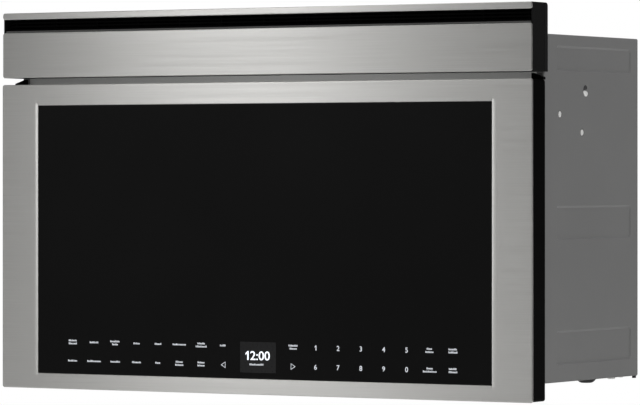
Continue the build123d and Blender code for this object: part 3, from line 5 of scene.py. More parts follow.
import bmesh
import bpy
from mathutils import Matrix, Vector


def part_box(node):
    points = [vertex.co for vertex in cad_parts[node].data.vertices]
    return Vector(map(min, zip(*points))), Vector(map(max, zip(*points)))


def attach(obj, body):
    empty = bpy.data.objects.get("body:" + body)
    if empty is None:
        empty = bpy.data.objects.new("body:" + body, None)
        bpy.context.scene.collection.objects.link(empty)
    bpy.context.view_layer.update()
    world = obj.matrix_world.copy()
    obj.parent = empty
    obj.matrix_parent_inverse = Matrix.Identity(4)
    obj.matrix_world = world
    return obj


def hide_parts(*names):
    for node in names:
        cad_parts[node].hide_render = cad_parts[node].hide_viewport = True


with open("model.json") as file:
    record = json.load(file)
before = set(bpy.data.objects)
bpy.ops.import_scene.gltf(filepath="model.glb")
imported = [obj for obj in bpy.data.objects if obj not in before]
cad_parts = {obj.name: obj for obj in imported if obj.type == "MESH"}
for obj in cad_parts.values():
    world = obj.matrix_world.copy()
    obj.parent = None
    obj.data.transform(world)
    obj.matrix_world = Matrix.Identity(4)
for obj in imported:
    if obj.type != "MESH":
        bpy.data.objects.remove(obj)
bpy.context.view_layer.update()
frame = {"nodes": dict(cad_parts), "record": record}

MM = 0.001
NODES = frame["nodes"]
SLOTS = {entry["node"]: entry["material_slot"] for entry in frame["record"]["subparts"]}
BODIES = {}
for body_name, members in frame["record"]["behaviour"]["bodies"].items():
    for member in members:
        BODIES[member] = body_name

# The door's front plane and bottom edge, from which depths and heights are measured
door_low, door_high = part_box("door_frame")
FRONT = door_low.y
BOTTOM = door_low.z


def place(x, depth, height):
    """A point given in millimetres: across from the centre, back from the door and up from its edge."""
    return Vector((x * MM, FRONT + depth * MM, BOTTOM + height * MM))


# Materials


def grey(level):
    return (level, level, level)


def shaded(colour, factor):
    return tuple(factor * part for part in colour)


class Painter:
    """Builds one material's nodes around its principled shader."""

    def __init__(self, name):
        self.material = bpy.data.materials.new(name)
        self.material.use_nodes = True
        self.tree = self.material.node_tree
        self.shader = self.tree.nodes["Principled BSDF"]
        self.place = self.node("ShaderNodeTexCoord").outputs["Object"]

    def node(self, kind, **settings):
        made = self.tree.nodes.new(kind)
        for key, value in settings.items():
            setattr(made, key, value)
        return made

    def link(self, source, target):
        self.tree.links.new(source, target)

    def set(self, **values):
        for key, value in values.items():
            self.shader.inputs[key.replace("_", " ")].default_value = value

    def noise(self, scale, detail=3.0, stretch=(1, 1, 1), roughness=0.55):
        mapping = self.node("ShaderNodeMapping")
        mapping.inputs["Scale"].default_value = stretch
        self.link(self.place, mapping.inputs["Vector"])
        texture = self.node("ShaderNodeTexNoise")
        texture.inputs["Scale"].default_value = scale
        texture.inputs["Detail"].default_value = detail
        texture.inputs["Roughness"].default_value = roughness
        self.link(mapping.outputs["Vector"], texture.inputs["Vector"])
        return texture.outputs["Fac"]

    def ramp(self, source, start, end, low=0.0, high=1.0):
        """Turns a value between start and end into one between low and high."""
        made = self.node("ShaderNodeMapRange")
        made.inputs["From Min"].default_value = start
        made.inputs["From Max"].default_value = end
        made.inputs["To Min"].default_value = low
        made.inputs["To Max"].default_value = high
        self.link(source, made.inputs["Value"])
        return made.outputs["Result"]

    def between(self, pattern, low, high):
        """Turns a noise pattern into a value between low and high."""
        return self.ramp(pattern, 0.3, 0.7, low, high)

    def blend(self, factor, first, second):
        """Mixes two colours, or a colour and an output, by a 0 to 1 pattern."""
        mix = self.node("ShaderNodeMix", data_type="RGBA")
        self.link(factor, mix.inputs["Factor"])
        for value, socket in ((first, mix.inputs["A"]), (second, mix.inputs["B"])):
            if isinstance(value, tuple):
                socket.default_value = (*value, 1.0)
            else:
                self.link(value, socket)
        return mix.outputs["Result"]

    def colour(self, source):
        self.link(source, self.shader.inputs["Base Color"])

    def roughness(self, source):
        self.link(source, self.shader.inputs["Roughness"])

    def bump(self, height, distance, strength=1.0):
        node = self.node("ShaderNodeBump")
        node.inputs["Distance"].default_value = distance
        node.inputs["Strength"].default_value = strength
        self.link(height, node.inputs["Height"])
        self.link(node.outputs["Normal"], self.shader.inputs["Normal"])

    def surface(self, output):
        self.link(output, self.tree.nodes["Material Output"].inputs["Surface"])


def brushed(name, light, dark, rough, grain_bump):
    """Brushed stainless steel with a horizontal grain."""
    paint = Painter(name)
    fine = paint.noise(1.0, 2.0, (9.0, 60.0, 2600.0))
    broad = paint.noise(1.0, 3.0, (2.5, 12.0, 320.0))
    paint.colour(paint.blend(paint.between(fine, 0.0, 1.0), dark, light))
    paint.roughness(paint.between(broad, rough - 0.035, rough + 0.035))
    paint.bump(fine, grain_bump, 0.6)
    paint.set(Metallic=1.0, Anisotropic=0.98)
    tangent = paint.node("ShaderNodeTangent", direction_type="RADIAL", axis="X")
    paint.link(tangent.outputs["Tangent"], paint.shader.inputs["Tangent"])
    return paint.material


def painted(name, colour, other, rough, grain, grain_bump, **values):
    """Painted or coated sheet, with a slow drift in colour and a fine surface."""
    paint = Painter(name)
    slow = paint.noise(9.0, 4.0)
    fine = paint.noise(grain, 3.0)
    paint.colour(paint.blend(paint.between(slow, 0.0, 1.0), colour, other))
    paint.roughness(paint.between(fine, rough - 0.05, rough + 0.05))
    paint.bump(fine, grain_bump)
    paint.set(**values)
    return paint.material


def metal(name, colour, other, rough, grain, grain_bump, stretch=(1, 1, 1), metallic=1.0):
    """Bare metal sheet or bar, with streaks or a mottled plating."""
    paint = Painter(name)
    streak = paint.noise(grain, 4.0, stretch)
    slow = paint.noise(14.0, 3.0)
    paint.colour(paint.blend(paint.between(slow, 0.0, 1.0), colour, other))
    paint.roughness(paint.between(streak, rough - 0.08, rough + 0.08))
    paint.bump(streak, grain_bump)
    paint.set(Metallic=metallic)
    return paint.material


def speckled(name, base, fleck, rough):
    """Fired enamel with small dark flecks."""
    paint = Painter(name)
    cells = paint.node("ShaderNodeTexVoronoi", feature="F1")
    cells.inputs["Scale"].default_value = 420.0
    paint.link(paint.place, cells.inputs["Vector"])
    dots = paint.ramp(cells.outputs["Distance"], 0.12, 0.22)
    paint.colour(paint.blend(dots, fleck, base))
    fine = paint.noise(60.0, 3.0)
    paint.roughness(paint.between(fine, rough - 0.04, rough + 0.04))
    paint.bump(fine, 0.0002)
    paint.set(Coat_Weight=0.4, Coat_Roughness=0.12)
    return paint.material


def glass(name, tint, rough):
    """Clear glass sheet."""
    paint = Painter(name)
    haze = paint.noise(25.0, 3.0)
    paint.roughness(paint.between(haze, rough, rough + 0.02))
    paint.set(Base_Color=(*tint, 1.0), Transmission_Weight=0.9, IOR=1.5)
    return paint.material


def black_glass(name, colour, other):
    """Black-backed outer glass."""
    paint = Painter(name)
    slow = paint.noise(5.0, 2.0)
    haze = paint.noise(40.0, 3.0)
    paint.colour(paint.blend(paint.between(slow, 0.0, 1.0), colour, other))
    paint.roughness(paint.between(haze, 0.035, 0.06))
    paint.set(Specular_IOR_Level=0.4)
    return paint.material


def glowing(name, colour, strength):
    """Lit marks behind the glass."""
    paint = Painter(name)
    slow = paint.noise(300.0, 1.0)
    paint.colour(paint.blend(paint.between(slow, 0.0, 1.0), (0.5, 0.52, 0.55), (0.6, 0.62, 0.65)))
    paint.set(Emission_Color=(*colour, 1.0), Emission_Strength=strength, Roughness=0.4)
    return paint.material


def perforated(name, sheet_colour, hole_colour, pitch):
    """Dark sheet with a regular pattern of small holes."""
    paint = Painter(name)
    cells = paint.node("ShaderNodeTexVoronoi", feature="F1")
    cells.inputs["Scale"].default_value = 1.0 / pitch
    cells.inputs["Randomness"].default_value = 0.0
    flat = paint.node("ShaderNodeMapping")
    flat.inputs["Scale"].default_value = (1.0, 0.0, 1.0)
    paint.link(paint.place, flat.inputs["Vector"])
    paint.link(flat.outputs["Vector"], cells.inputs["Vector"])
    holes = paint.ramp(cells.outputs["Distance"], 0.28, 0.36)
    paint.colour(paint.blend(holes, hole_colour, sheet_colour))
    paint.bump(holes, 0.0004)
    paint.set(Roughness=0.45)
    return paint.material


def banded(name, plain, band, start, rough):
    """Black moulding whose rear band, from a given depth back, is a little paler."""
    paint = Painter(name)
    split = paint.node("ShaderNodeSeparateXYZ")
    paint.link(paint.place, split.inputs["Vector"])
    step = paint.node("ShaderNodeMath", operation="GREATER_THAN")
    step.inputs[1].default_value = FRONT + start * MM
    paint.link(split.outputs["Y"], step.inputs[0])
    slow = paint.noise(9.0, 4.0)
    worn = paint.blend(paint.between(slow, 0.0, 1.0), plain, shaded(plain, 1.2))
    paint.colour(paint.blend(step.outputs["Value"], worn, band))
    fine = paint.noise(1200.0, 3.0)
    paint.roughness(paint.between(fine, rough - 0.05, rough + 0.05))
    paint.bump(fine, 0.00004)
    paint.set(Specular_IOR_Level=0.1)
    return paint.material


STEEL_LIGHT = (0.64, 0.635, 0.62)
STEEL_DARK = (0.57, 0.565, 0.55)
STEEL_ROUGH = 0.34
STEEL_GRAIN = 0.00001
# The fixed panel above the door gets a darker copy of the door frame's steel, a painted shade for its
# dimmer reflection
PANEL_PAINTED_SHADE = 0.88
# The black housing turns paler this far behind the door's front, in millimetres
HOUSING_BAND = 31.3

# One material for each slot of the record
MATERIALS = {
    "stainless": brushed("brushed_stainless", STEEL_LIGHT, STEEL_DARK, STEEL_ROUGH, STEEL_GRAIN),
    "black_glass": black_glass("black_outer_glass", grey(0.005), grey(0.0058)),
    "clear_glass": glass("clear_oven_glass", (0.9, 0.93, 0.92), 0.02),
    "ceramic": painted("satin_ceramic", (0.55, 0.53, 0.49), (0.6, 0.58, 0.54), 0.3, 90.0, 0.00005,
                       Coat_Weight=0.3, Coat_Roughness=0.2),
    "black_plastic": painted("black_moulding", grey(0.0016), grey(0.0021), 0.5, 1400.0, 0.00004,
                             Specular_IOR_Level=0.03),
    "dark_plastic": painted("dark_moulding", (0.02, 0.02, 0.021), (0.027, 0.027, 0.028), 0.5,
                            1100.0, 0.00005, Specular_IOR_Level=0.4),
    "white_plastic": painted("white_moulding", (0.6, 0.6, 0.57), (0.66, 0.66, 0.63), 0.45,
                             900.0, 0.00004),
    "grey_sheet": painted("grey_coated_sheet", grey(0.154), grey(0.161), 0.34, 700.0, 0.00002,
                          Specular_IOR_Level=0.5),
    "dark_sheet": painted("dark_coated_sheet", (0.035, 0.035, 0.037), (0.045, 0.045, 0.047), 0.45,
                          700.0, 0.00003),
    "enamel": speckled("grey_enamel", (0.2, 0.205, 0.215), (0.06, 0.065, 0.07), 0.3),
    "zinc_steel": metal("zinc_plated_steel", (0.5, 0.51, 0.52), (0.42, 0.43, 0.45), 0.38, 60.0, 0.00005),
    "aluminium": metal("mill_aluminium", (0.62, 0.63, 0.64), (0.56, 0.57, 0.58), 0.35, 1.0, 0.00004,
                       (10.0, 400.0, 400.0)),
    "bright_metal": metal("bright_plating", grey(0.68), grey(0.6), 0.25, 300.0, 0.00002),
    "heater_sheath": metal("oxidised_sheath", (0.1, 0.085, 0.07), (0.06, 0.055, 0.055), 0.5, 200.0,
                           0.00008),
    "motor_paint": painted("lacquered_steel", (0.06, 0.06, 0.066), (0.08, 0.08, 0.086), 0.42, 500.0,
                           0.00005),
    "circuit_board": painted("green_board", (0.03, 0.14, 0.06), (0.04, 0.17, 0.07), 0.4, 800.0,
                             0.00004),
    "display": painted("smoked_window", (0.008, 0.008, 0.0085), (0.009, 0.009, 0.0095), 0.3, 500.0,
                       0.00001, Specular_IOR_Level=0.3),
    "rubber": painted("black_rubber", grey(0.02), grey(0.026), 0.75, 900.0, 0.00008,
                      Specular_IOR_Level=0.3),
}
LIT_MARKS = glowing("lit_marks", (0.86, 0.9, 1.0), 0.24)
LIT_CLOCK = glowing("lit_clock", (0.88, 0.93, 1.0), 0.8)
LIP = painted("slot_lip_moulding", (0.045, 0.045, 0.045), (0.055, 0.055, 0.054), 0.5, 900.0, 0.00004)
# Bright zinc of the side screws, also used for the painted highlight in each side dimple
PLATED_AND_HIGHLIGHT = metal("bright_zinc_and_painted_highlight", (0.85, 0.85, 0.84), (0.75, 0.75, 0.74), 0.45, 300.0, 0.00002,
               metallic=0.35)

# Nodes whose finish differs from the rest of their slot
FINISHES = {
    "window_screen": perforated("perforated_screen", (0.03, 0.03, 0.031), grey(0.002), 0.0026),
    "vent_louvre": painted("louvre_moulding", grey(0.001), grey(0.0014), 0.6, 900.0, 0.00004,
                           Specular_IOR_Level=0.05),
    "vent_housing": banded("housing_moulding", grey(0.0054), (0.0085, 0.0085, 0.0088), HOUSING_BAND, 0.5),
    # The top panel's steel is the door's steel darkened: painted shade
    "top_panel": brushed("brushed_panel_painted_shade", shaded(STEEL_LIGHT, PANEL_PAINTED_SHADE),
                         shaded(STEEL_DARK, PANEL_PAINTED_SHADE), STEEL_ROUGH, STEEL_GRAIN),
    # The frame behind the gap above the door is pale paint, a painted reflection standing in for its
    # bright steel
    "front_frame": painted("rail_sheet_painted_reflection", (0.78, 0.78, 0.76), (0.84, 0.84, 0.82), 0.3, 700.0,
                           0.00002),
    "chassis_fasteners": PLATED_AND_HIGHLIGHT,
}


def finish_of(node):
    """The material of a construction node: its own finish, or else its slot's."""
    return FINISHES.get(node, MATERIALS[SLOTS[node]])


# Pieces taken from the construction, with their edges eased

# Corners nearer than this, in metres, are one corner
MERGE_WITHIN = 0.000002
# Faces that differ by less than this, in degrees, become one face
FLAT_WITHIN = 0.4
# Angle between faces, in degrees, above which an edge is eased, and the nodes that differ from it
CREASE = 38.0
CREASES = {"door_frame": 14.0}
# Faces whose normal's y is under the first value look to the front, and an edge between two of them
# stays sharp where they differ by more than the second, in degrees
FRONT_FACING = -0.95
SHARP_ABOVE = 1.0
# How far each visible node's edges are eased, in millimetres
EASED = {
    "trim_strip": 0.5,
    "top_panel": 0.5,
    "door_frame": 0.35,
    "door_glass": 0.3,
    "vent_housing": 0.5,
    "door_shell": 0.5,
    "side_panel_left": 0.4,
    "side_panel_right": 0.4,
    "top_cover": 0.3,
    "back_plate": 0.3,
    "base_plate": 0.3,
}


def keep_mesh(name, mesh, material):
    """Puts a finished mesh in the scene as an object."""
    piece = bpy.data.objects.new(name, mesh)
    bpy.context.scene.collection.objects.link(piece)
    mesh.materials.clear()
    mesh.materials.append(material)
    return piece


def keep_work(name, work, material):
    """Turns finished mesh work into an object in the scene."""
    mesh = bpy.data.meshes.new(name)
    work.to_mesh(mesh)
    work.free()
    return keep_mesh(name, mesh, material)


def flat_normals(piece):
    """Keeps large faces flat in their shading beside the eased edges."""
    flat = piece.modifiers.new("flat", "WEIGHTED_NORMAL")
    flat.mode = "FACE_AREA"
    flat.weight = 100
    flat.keep_sharp = True


def eased(node, width, crease):
    """A copy of a construction node with rounded edges, which replaces it."""
    source = NODES[node].data
    mesh = bpy.data.meshes.new(node + "_eased")
    mesh.from_pydata(
        [vert.co for vert in source.vertices], [], [face.vertices for face in source.polygons]
    )
    work = bmesh.new()
    work.from_mesh(mesh)
    bmesh.ops.remove_doubles(work, verts=work.verts, dist=MERGE_WITHIN)
    bmesh.ops.dissolve_limit(
        work, angle_limit=math.radians(FLAT_WITHIN), verts=work.verts, edges=work.edges
    )
    weight = work.edges.layers.float.new("bevel_weight_edge")
    for edge in work.edges:
        if len(edge.link_faces) == 2 and edge.calc_face_angle(0.0) > math.radians(crease):
            edge[weight] = 1.0
    for face in work.faces:
        face.smooth = True
    for edge in work.edges:
        if all(face.normal.y < FRONT_FACING for face in edge.link_faces):
            edge.smooth = edge.calc_face_angle(0.0) < math.radians(SHARP_ABOVE)
    work.to_mesh(mesh)
    work.free()
    piece = keep_mesh(node + "_eased", mesh, finish_of(node))
    ease = piece.modifiers.new("ease", "BEVEL")
    ease.width = width * MM
    ease.segments = 2
    ease.limit_method = "WEIGHT"
    ease.use_clamp_overlap = False
    ease.miter_outer = "MITER_SHARP"
    flat_normals(piece)
    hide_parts(node)
    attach(piece, BODIES[node])
    return piece


for node, width in EASED.items():
    eased(node, width, CREASES.get(node, CREASE))
for node, piece in NODES.items():
    if node not in EASED:
        piece.data.materials.clear()
        piece.data.materials.append(finish_of(node))


# A dark lip stands behind the top panel's upper edge, at the bottom of the slot

LIP_DEPTH = 3.0
LIP_THICK = 1.6
LIP_RISE = 2.4
LIP_SUNK = 1.5
LIP_END_GAP = 3.0
LIP_EASE = 0.4


def bar_mesh(name, low, high, material, ease_width):
    """A straight bar between two corners, with eased edges."""
    work = bmesh.new()
    bmesh.ops.create_cube(work, size=1.0)
    for vert in work.verts:
        for axis in range(3):
            vert.co[axis] = low[axis] if vert.co[axis] < 0 else high[axis]
    bmesh.ops.bevel(
        work, geom=work.edges[:], offset=ease_width * MM, segments=2, profile=0.5, affect="EDGES"
    )
    for face in work.faces:
        face.smooth = True
    piece = keep_work(name, work, material)
    flat_normals(piece)
    return piece


panel_low, panel_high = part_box("top_panel")
lip_low = Vector((
    panel_low.x + LIP_END_GAP * MM,
    FRONT + LIP_DEPTH * MM,
    panel_high.z - LIP_SUNK * MM,
))
lip_high = Vector((
    panel_high.x - LIP_END_GAP * MM,
    FRONT + (LIP_DEPTH + LIP_THICK) * MM,
    panel_high.z + LIP_RISE * MM,
))
slot_lip = bar_mesh("slot_lip", lip_low, lip_high, LIP, LIP_EASE)
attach(slot_lip, "root")


# A bright plated piece fills the lower half of each side panel's round dimple as a painted highlight of
# its lit slope, and a dark piece the upper half as a painted shadow

DIMPLE_DEPTH = 146.0
DIMPLE_BELOW_TOP = 65.6
PAINTED_HIGHLIGHT_DROP = 4.2
PAINTED_HIGHLIGHT_PROFILE = ((0.1, 0.3), (2.4, 0.1), (3.7, -0.5), (4.2, -1.4), (4.2, -2.6))
PAINTED_SHADOW_RAISE = 3.6
PAINTED_SHADOW_PROFILE = ((0.1, -0.7), (2.8, -0.7), (3.4, -1.1), (3.4, -2.6))
HEAD_STRETCH = 1.6
HEAD_SIDES = 32


def turned(name, profile, centre, material, stretch):
    """A round or oblong head on a side wall, from (radius, outward) points in millimetres."""
    sign = 1 if centre.x > 0 else -1
    work = bmesh.new()
    rings = []
    for radius, outward in profile:
        ring = []
        for step in range(HEAD_SIDES):
            angle = 2 * math.pi * step / HEAD_SIDES
            along = stretch * radius * math.cos(angle)
            around = Vector((sign * outward, along, radius * math.sin(angle)))
            ring.append(work.verts.new(centre + around * MM))
        rings.append(ring)
    for inner, outer in zip(rings, rings[1:]):
        for step in range(HEAD_SIDES):
            after = (step + 1) % HEAD_SIDES
            work.faces.new((inner[step], inner[after], outer[after], outer[step]))
    work.faces.new(rings[0])
    work.faces.new(rings[-1])
    bmesh.ops.recalc_face_normals(work, faces=work.faces)
    for face in work.faces:
        face.smooth = True
    return keep_work(name, work, material)


def dimple_head(name, profile, centre, raised, material):
    """One head in a dimple, raised above the dimple's centre by some millimetres."""
    head = turned(name, profile, centre + Vector((0, 0, raised * MM)), material, HEAD_STRETCH)
    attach(head, "root")


for side in ("left", "right"):
    side_low, side_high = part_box("side_panel_" + side)
    outer_x = side_low.x if side == "left" else side_high.x
    dimple = Vector((outer_x, FRONT + DIMPLE_DEPTH * MM, side_high.z - DIMPLE_BELOW_TOP * MM))
    # Painted highlight in the dimple's lower half
    dimple_head("side_painted_highlight_" + side, PAINTED_HIGHLIGHT_PROFILE, dimple, -PAINTED_HIGHLIGHT_DROP, PLATED_AND_HIGHLIGHT)
    # Painted shadow in the dimple's upper half, a dark piece where the dimple is in shade
    dimple_head(
        "side_painted_shadow_" + side, PAINTED_SHADOW_PROFILE, dimple, PAINTED_SHADOW_RAISE, MATERIALS["dark_sheet"]
    )


# Marks behind the glass, in millimetres from the door's middle and bottom edge

MARK_PROUD = 0.02
COLUMN_FIRST = 50.0
COLUMN_PITCH = 31.6
ROWS = (58.8, 35.5)
BAR_TALL = 1.7
LINE_PITCH = 3.7
DASH_LEAST = 0.7
DASH_MOST = 1.5
DASH_GAP = 0.45
TALL_DASH = 2.3
TALL_SHARE = 0.25
DIGIT_TALL = 6.2
CLOCK_TALL = 11.0
CLOCK_HEIGHT = 47.6
CLOCK_ONE_X = -15.4
CLOCK_REST_X = 3.0
CLOCK_STRETCH = 1.1
LINE_X = -2.0
LINE_HEIGHT = 36.6
LINE_WIDE = 20.0
# Font size and thickening for a figure one unit tall
FONT_SIZE = 1.38
FONT_THICKEN = 0.018
# Stem and flag of the figure 1, as shares of its height
STEM_SHARE = 0.2
FLAG_SHARE = 0.22
glass_front = (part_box("door_glass")[0].y - FRONT) / MM - MARK_PROUD


def outline_mesh(name, loops, material):
    """Flat mesh on the glass from closed loops of (x, height) points in millimetres."""
    work = bmesh.new()
    for loop in loops:
        corners = [work.verts.new(place(x, glass_front, height)) for x, height in loop]
        work.faces.new(corners)
    bmesh.ops.recalc_face_normals(work, faces=work.faces)
    for face in work.faces:
        if face.normal.y > 0:
            face.normal_flip()
    return keep_work(name, work, material)


def column(side, number):
    """Where a key's column is: side is -1 or 1, and number counts outwards from 0."""
    return side * (COLUMN_FIRST + COLUMN_PITCH * number)


chance = random.Random(7)


def dashed_line(x, height, width):
    """A row of short uneven dashes in place of a line of words."""
    loops = []
    left = x - width / 2
    end = x + width / 2
    while left < end - DASH_LEAST:
        wide = min(chance.uniform(DASH_LEAST, DASH_MOST), end - left)
        top = height + BAR_TALL / 2
        if not loops or chance.random() < TALL_SHARE:
            top += TALL_DASH - BAR_TALL
        low = height - BAR_TALL / 2
        loops.append([(left, low), (left + wide, low), (left + wide, top), (left, top)])
        left += wide + DASH_GAP
    return loops


def label_lines(x, height, widths):
    """One row of dashes for a short label, or two rows one above the other."""
    if len(widths) == 1:
        return dashed_line(x, height, widths[0])
    upper = dashed_line(x, height + LINE_PITCH / 2, widths[0])
    return upper + dashed_line(x, height - LINE_PITCH / 2, widths[1])


# Widths of each key's label lines in millimetres, from the middle outwards
LEFT_LABELS = (
    ((9.0,), (11.0, 16.0), (20.0,), (9.5,), (9.0,), (14.5, 9.0), (12.5,), (12.5, 12.5)),
    ((), (10.5, 11.0), (11.0, 12.5), (8.0,), (13.0,), (14.0,), (20.0,), (14.5,)),
)
RIGHT_LABELS = (
    ((13.0, 10.0), (), (), (), (), (), (8.0, 11.5), (12.0, 12.0)),
    ((), (), (), (), (), (), (8.5, 18.5), (11.0, 11.5)),
)
dashes = []
for side, labels in ((-1, LEFT_LABELS), (1, RIGHT_LABELS)):
    for row, widths_in_row in zip(ROWS, labels):
        for number, widths in enumerate(widths_in_row):
            if widths:
                dashes += label_lines(column(side, number), row, widths)
key_dashes = outline_mesh("key_dashes", dashes, LIT_MARKS)


def text_piece(name, words, x, height, tall, material, stretch=1.0):
    """A number, as a flat mesh centred on a point of the glass and stretched across."""
    curve = bpy.data.curves.new(name, "FONT")
    curve.body = words
    curve.align_x = "CENTER"
    curve.align_y = "CENTER"
    curve.size = tall * MM * FONT_SIZE
    curve.offset = tall * MM * FONT_THICKEN
    holder = bpy.data.objects.new(name + "_text", curve)
    bpy.context.scene.collection.objects.link(holder)
    bpy.context.view_layer.update()
    graph = bpy.context.evaluated_depsgraph_get()
    mesh = bpy.data.meshes.new_from_object(holder.evaluated_get(graph))
    bpy.data.objects.remove(holder)
    low = min(vert.co.y for vert in mesh.vertices)
    high = max(vert.co.y for vert in mesh.vertices)
    left = min(vert.co.x for vert in mesh.vertices)
    right = max(vert.co.x for vert in mesh.vertices)
    scale = tall * MM / (high - low)
    centre = place(x, glass_front, height)
    for vert in mesh.vertices:
        across = (vert.co.x - (left + right) / 2) * scale * stretch
        upward = (vert.co.y - (low + high) / 2) * scale
        vert.co = centre + Vector((across, 0.0, upward))
    return keep_mesh(name, mesh, material)


def joined(name, pieces):
    """Joins several flat meshes into one object."""
    work = bmesh.new()
    material = pieces[0].data.materials[0]
    for piece in pieces:
        work.from_mesh(piece.data)
        bpy.data.objects.remove(piece)
    return keep_work(name, work, material)


def one(name, x, height, tall, material):
    """The figure 1 with its flag."""
    stem = tall * STEM_SHARE
    flag = tall * FLAG_SHARE
    low = height - tall / 2
    top = height + tall / 2
    stroke = [
        (x, low), (x + stem, low), (x + stem, top), (x + stem * 0.25, top),
        (x - flag, top - flag * 1.1), (x - flag, top - flag * 1.1 - stem), (x, top - flag - stem * 0.35),
    ]
    return outline_mesh(name, [stroke], material)


# The figure 1 is drawn from given points, with its flag, and the other figures come from the font
digits = [one("digit_1", column(1, 1), ROWS[0], DIGIT_TALL, LIT_MARKS)]
for row, numbers in zip(ROWS, (" 2345", "67890")):
    for number, digit in enumerate(numbers, 1):
        if digit != " ":
            digits.append(
                text_piece("digit_" + digit, digit, column(1, number), row, DIGIT_TALL, LIT_MARKS)
            )
key_digits = joined("key_digits", digits)
clock = joined("clock", [
    one("clock_1", CLOCK_ONE_X, CLOCK_HEIGHT, CLOCK_TALL, LIT_CLOCK),
    text_piece("clock_rest", "2:00", CLOCK_REST_X, CLOCK_HEIGHT, CLOCK_TALL, LIT_CLOCK, CLOCK_STRETCH),
])


def arrow(x, height, side, tall=8.0, wide=6.6, line=0.8):
    """An outline triangle that points to one side, made of three thin strips."""
    corners = [
        Vector((x + side * wide / 2, height)),
        Vector((x - side * wide / 2, height + tall / 2)),
        Vector((x - side * wide / 2, height - tall / 2)),
    ]
    centre = sum(corners, Vector((0, 0))) / 3
    inner = [corner + (centre - corner).normalized() * line * 1.6 for corner in corners]
    loops = []
    for start in range(3):
        end = (start + 1) % 3
        loops.append(
            [tuple(corners[start]), tuple(corners[end]), tuple(inner[end]), tuple(inner[start])]
        )
    return loops


arrows = outline_mesh(
    "key_arrows", arrow(column(-1, 0), ROWS[1], -1) + arrow(column(1, 0), ROWS[1], 1), LIT_MARKS
)
clock_line = outline_mesh("clock_line", dashed_line(LINE_X, LINE_HEIGHT, LINE_WIDE), LIT_MARKS)

# The display's window shows as a slightly lighter field behind the marks
DISPLAY_HALF = 25.5
DISPLAY_LOW = 26.8
DISPLAY_HIGH = 64.2
DISPLAY_BACK = 0.01
field_corners = [
    (-DISPLAY_HALF, DISPLAY_LOW), (DISPLAY_HALF, DISPLAY_LOW),
    (DISPLAY_HALF, DISPLAY_HIGH), (-DISPLAY_HALF, DISPLAY_HIGH),
]
display_field = outline_mesh("display_field", [field_corners], MATERIALS["display"])
for vert in display_field.data.vertices:
    vert.co.y += DISPLAY_BACK * MM
for piece in (key_dashes, key_digits, clock, arrows, clock_line, display_field):
    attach(piece, "door")


# Studio, in metres

FLOOR_DROP = 0.45
STAGE_HALF = 30.0
FADE_START = 2.0
FADE_END = 6.0
WORLD_LEVEL = 0.5


def plain_mesh(name, points, faces):
    """A mesh that belongs to the studio and not to the object."""
    mesh = bpy.data.meshes.new(name)
    mesh.from_pydata(points, [], faces)
    piece = bpy.data.objects.new(name, mesh)
    bpy.context.scene.collection.objects.link(piece)
    return piece


def floor_material():
    """Pale floor that keeps the shadow near the object and fades to white far from it."""
    paint = Painter("pale_floor")
    paint.set(Base_Color=(0.82, 0.82, 0.81, 1.0), Roughness=0.8, Specular_IOR_Level=0.2)
    length = paint.node("ShaderNodeVectorMath", operation="LENGTH")
    paint.link(paint.place, length.inputs[0])
    path = paint.node("ShaderNodeLightPath")
    seen = paint.node("ShaderNodeMath", operation="MULTIPLY")
    paint.link(paint.ramp(length.outputs["Value"], FADE_START, FADE_END), seen.inputs[0])
    paint.link(path.outputs["Is Camera Ray"], seen.inputs[1])
    white = paint.node("ShaderNodeEmission")
    mix = paint.node("ShaderNodeMixShader")
    paint.link(seen.outputs["Value"], mix.inputs["Fac"])
    paint.link(paint.shader.outputs["BSDF"], mix.inputs[1])
    paint.link(white.outputs["Emission"], mix.inputs[2])
    paint.surface(mix.outputs["Shader"])
    return paint.material


floor = plain_mesh(
    "floor",
    [(-STAGE_HALF, -STAGE_HALF, 0), (STAGE_HALF, -STAGE_HALF, 0),
     (STAGE_HALF, STAGE_HALF, 0), (-STAGE_HALF, STAGE_HALF, 0)],
    [(0, 1, 2, 3)],
)
floor.location = (0, FRONT, BOTTOM - FLOOR_DROP)
floor.data.materials.append(floor_material())


def world_light(diffuse_level):
    """White where the camera, a reflection or clear glass sees it, and a softer level as light."""
    world = bpy.data.worlds.new("studio")
    bpy.context.scene.world = world
    world.use_nodes = True
    tree = world.node_tree
    back = tree.nodes["Background"]
    back.inputs["Color"].default_value = (1, 1, 1, 1)
    path = tree.nodes.new("ShaderNodeLightPath")
    seen = path.outputs["Is Camera Ray"]
    for kind in ("Is Glossy Ray", "Is Transmission Ray"):
        either = tree.nodes.new("ShaderNodeMath")
        either.operation = "MAXIMUM"
        tree.links.new(seen, either.inputs[0])
        tree.links.new(path.outputs[kind], either.inputs[1])
        seen = either.outputs["Value"]
    level = tree.nodes.new("ShaderNodeMapRange")
    level.inputs["To Min"].default_value = diffuse_level
    level.inputs["To Max"].default_value = 1.0
    tree.links.new(seen, level.inputs["Value"])
    tree.links.new(level.outputs["Result"], back.inputs["Strength"])


world_light(WORLD_LEVEL)

# A round curtain that only reflections see: dark at eye level, paler above, and dimmer to the right
CURTAIN_RADIUS = 4.6
CURTAIN_LOW = -0.66
CURTAIN_HIGH = 7.0
CURTAIN_SIDES = 64
CURTAIN_BRIGHT_X = -2.6
CURTAIN_DIM_X = -0.9
CURTAIN_DIM = 0.55
# Heights and the brightness there
CURTAIN_STOPS = (
    (CURTAIN_LOW, 0.2), (-0.45, 0.05), (0.5, 0.05), (0.9, 0.19), (2.2, 0.26), (4.5, 0.3),
)


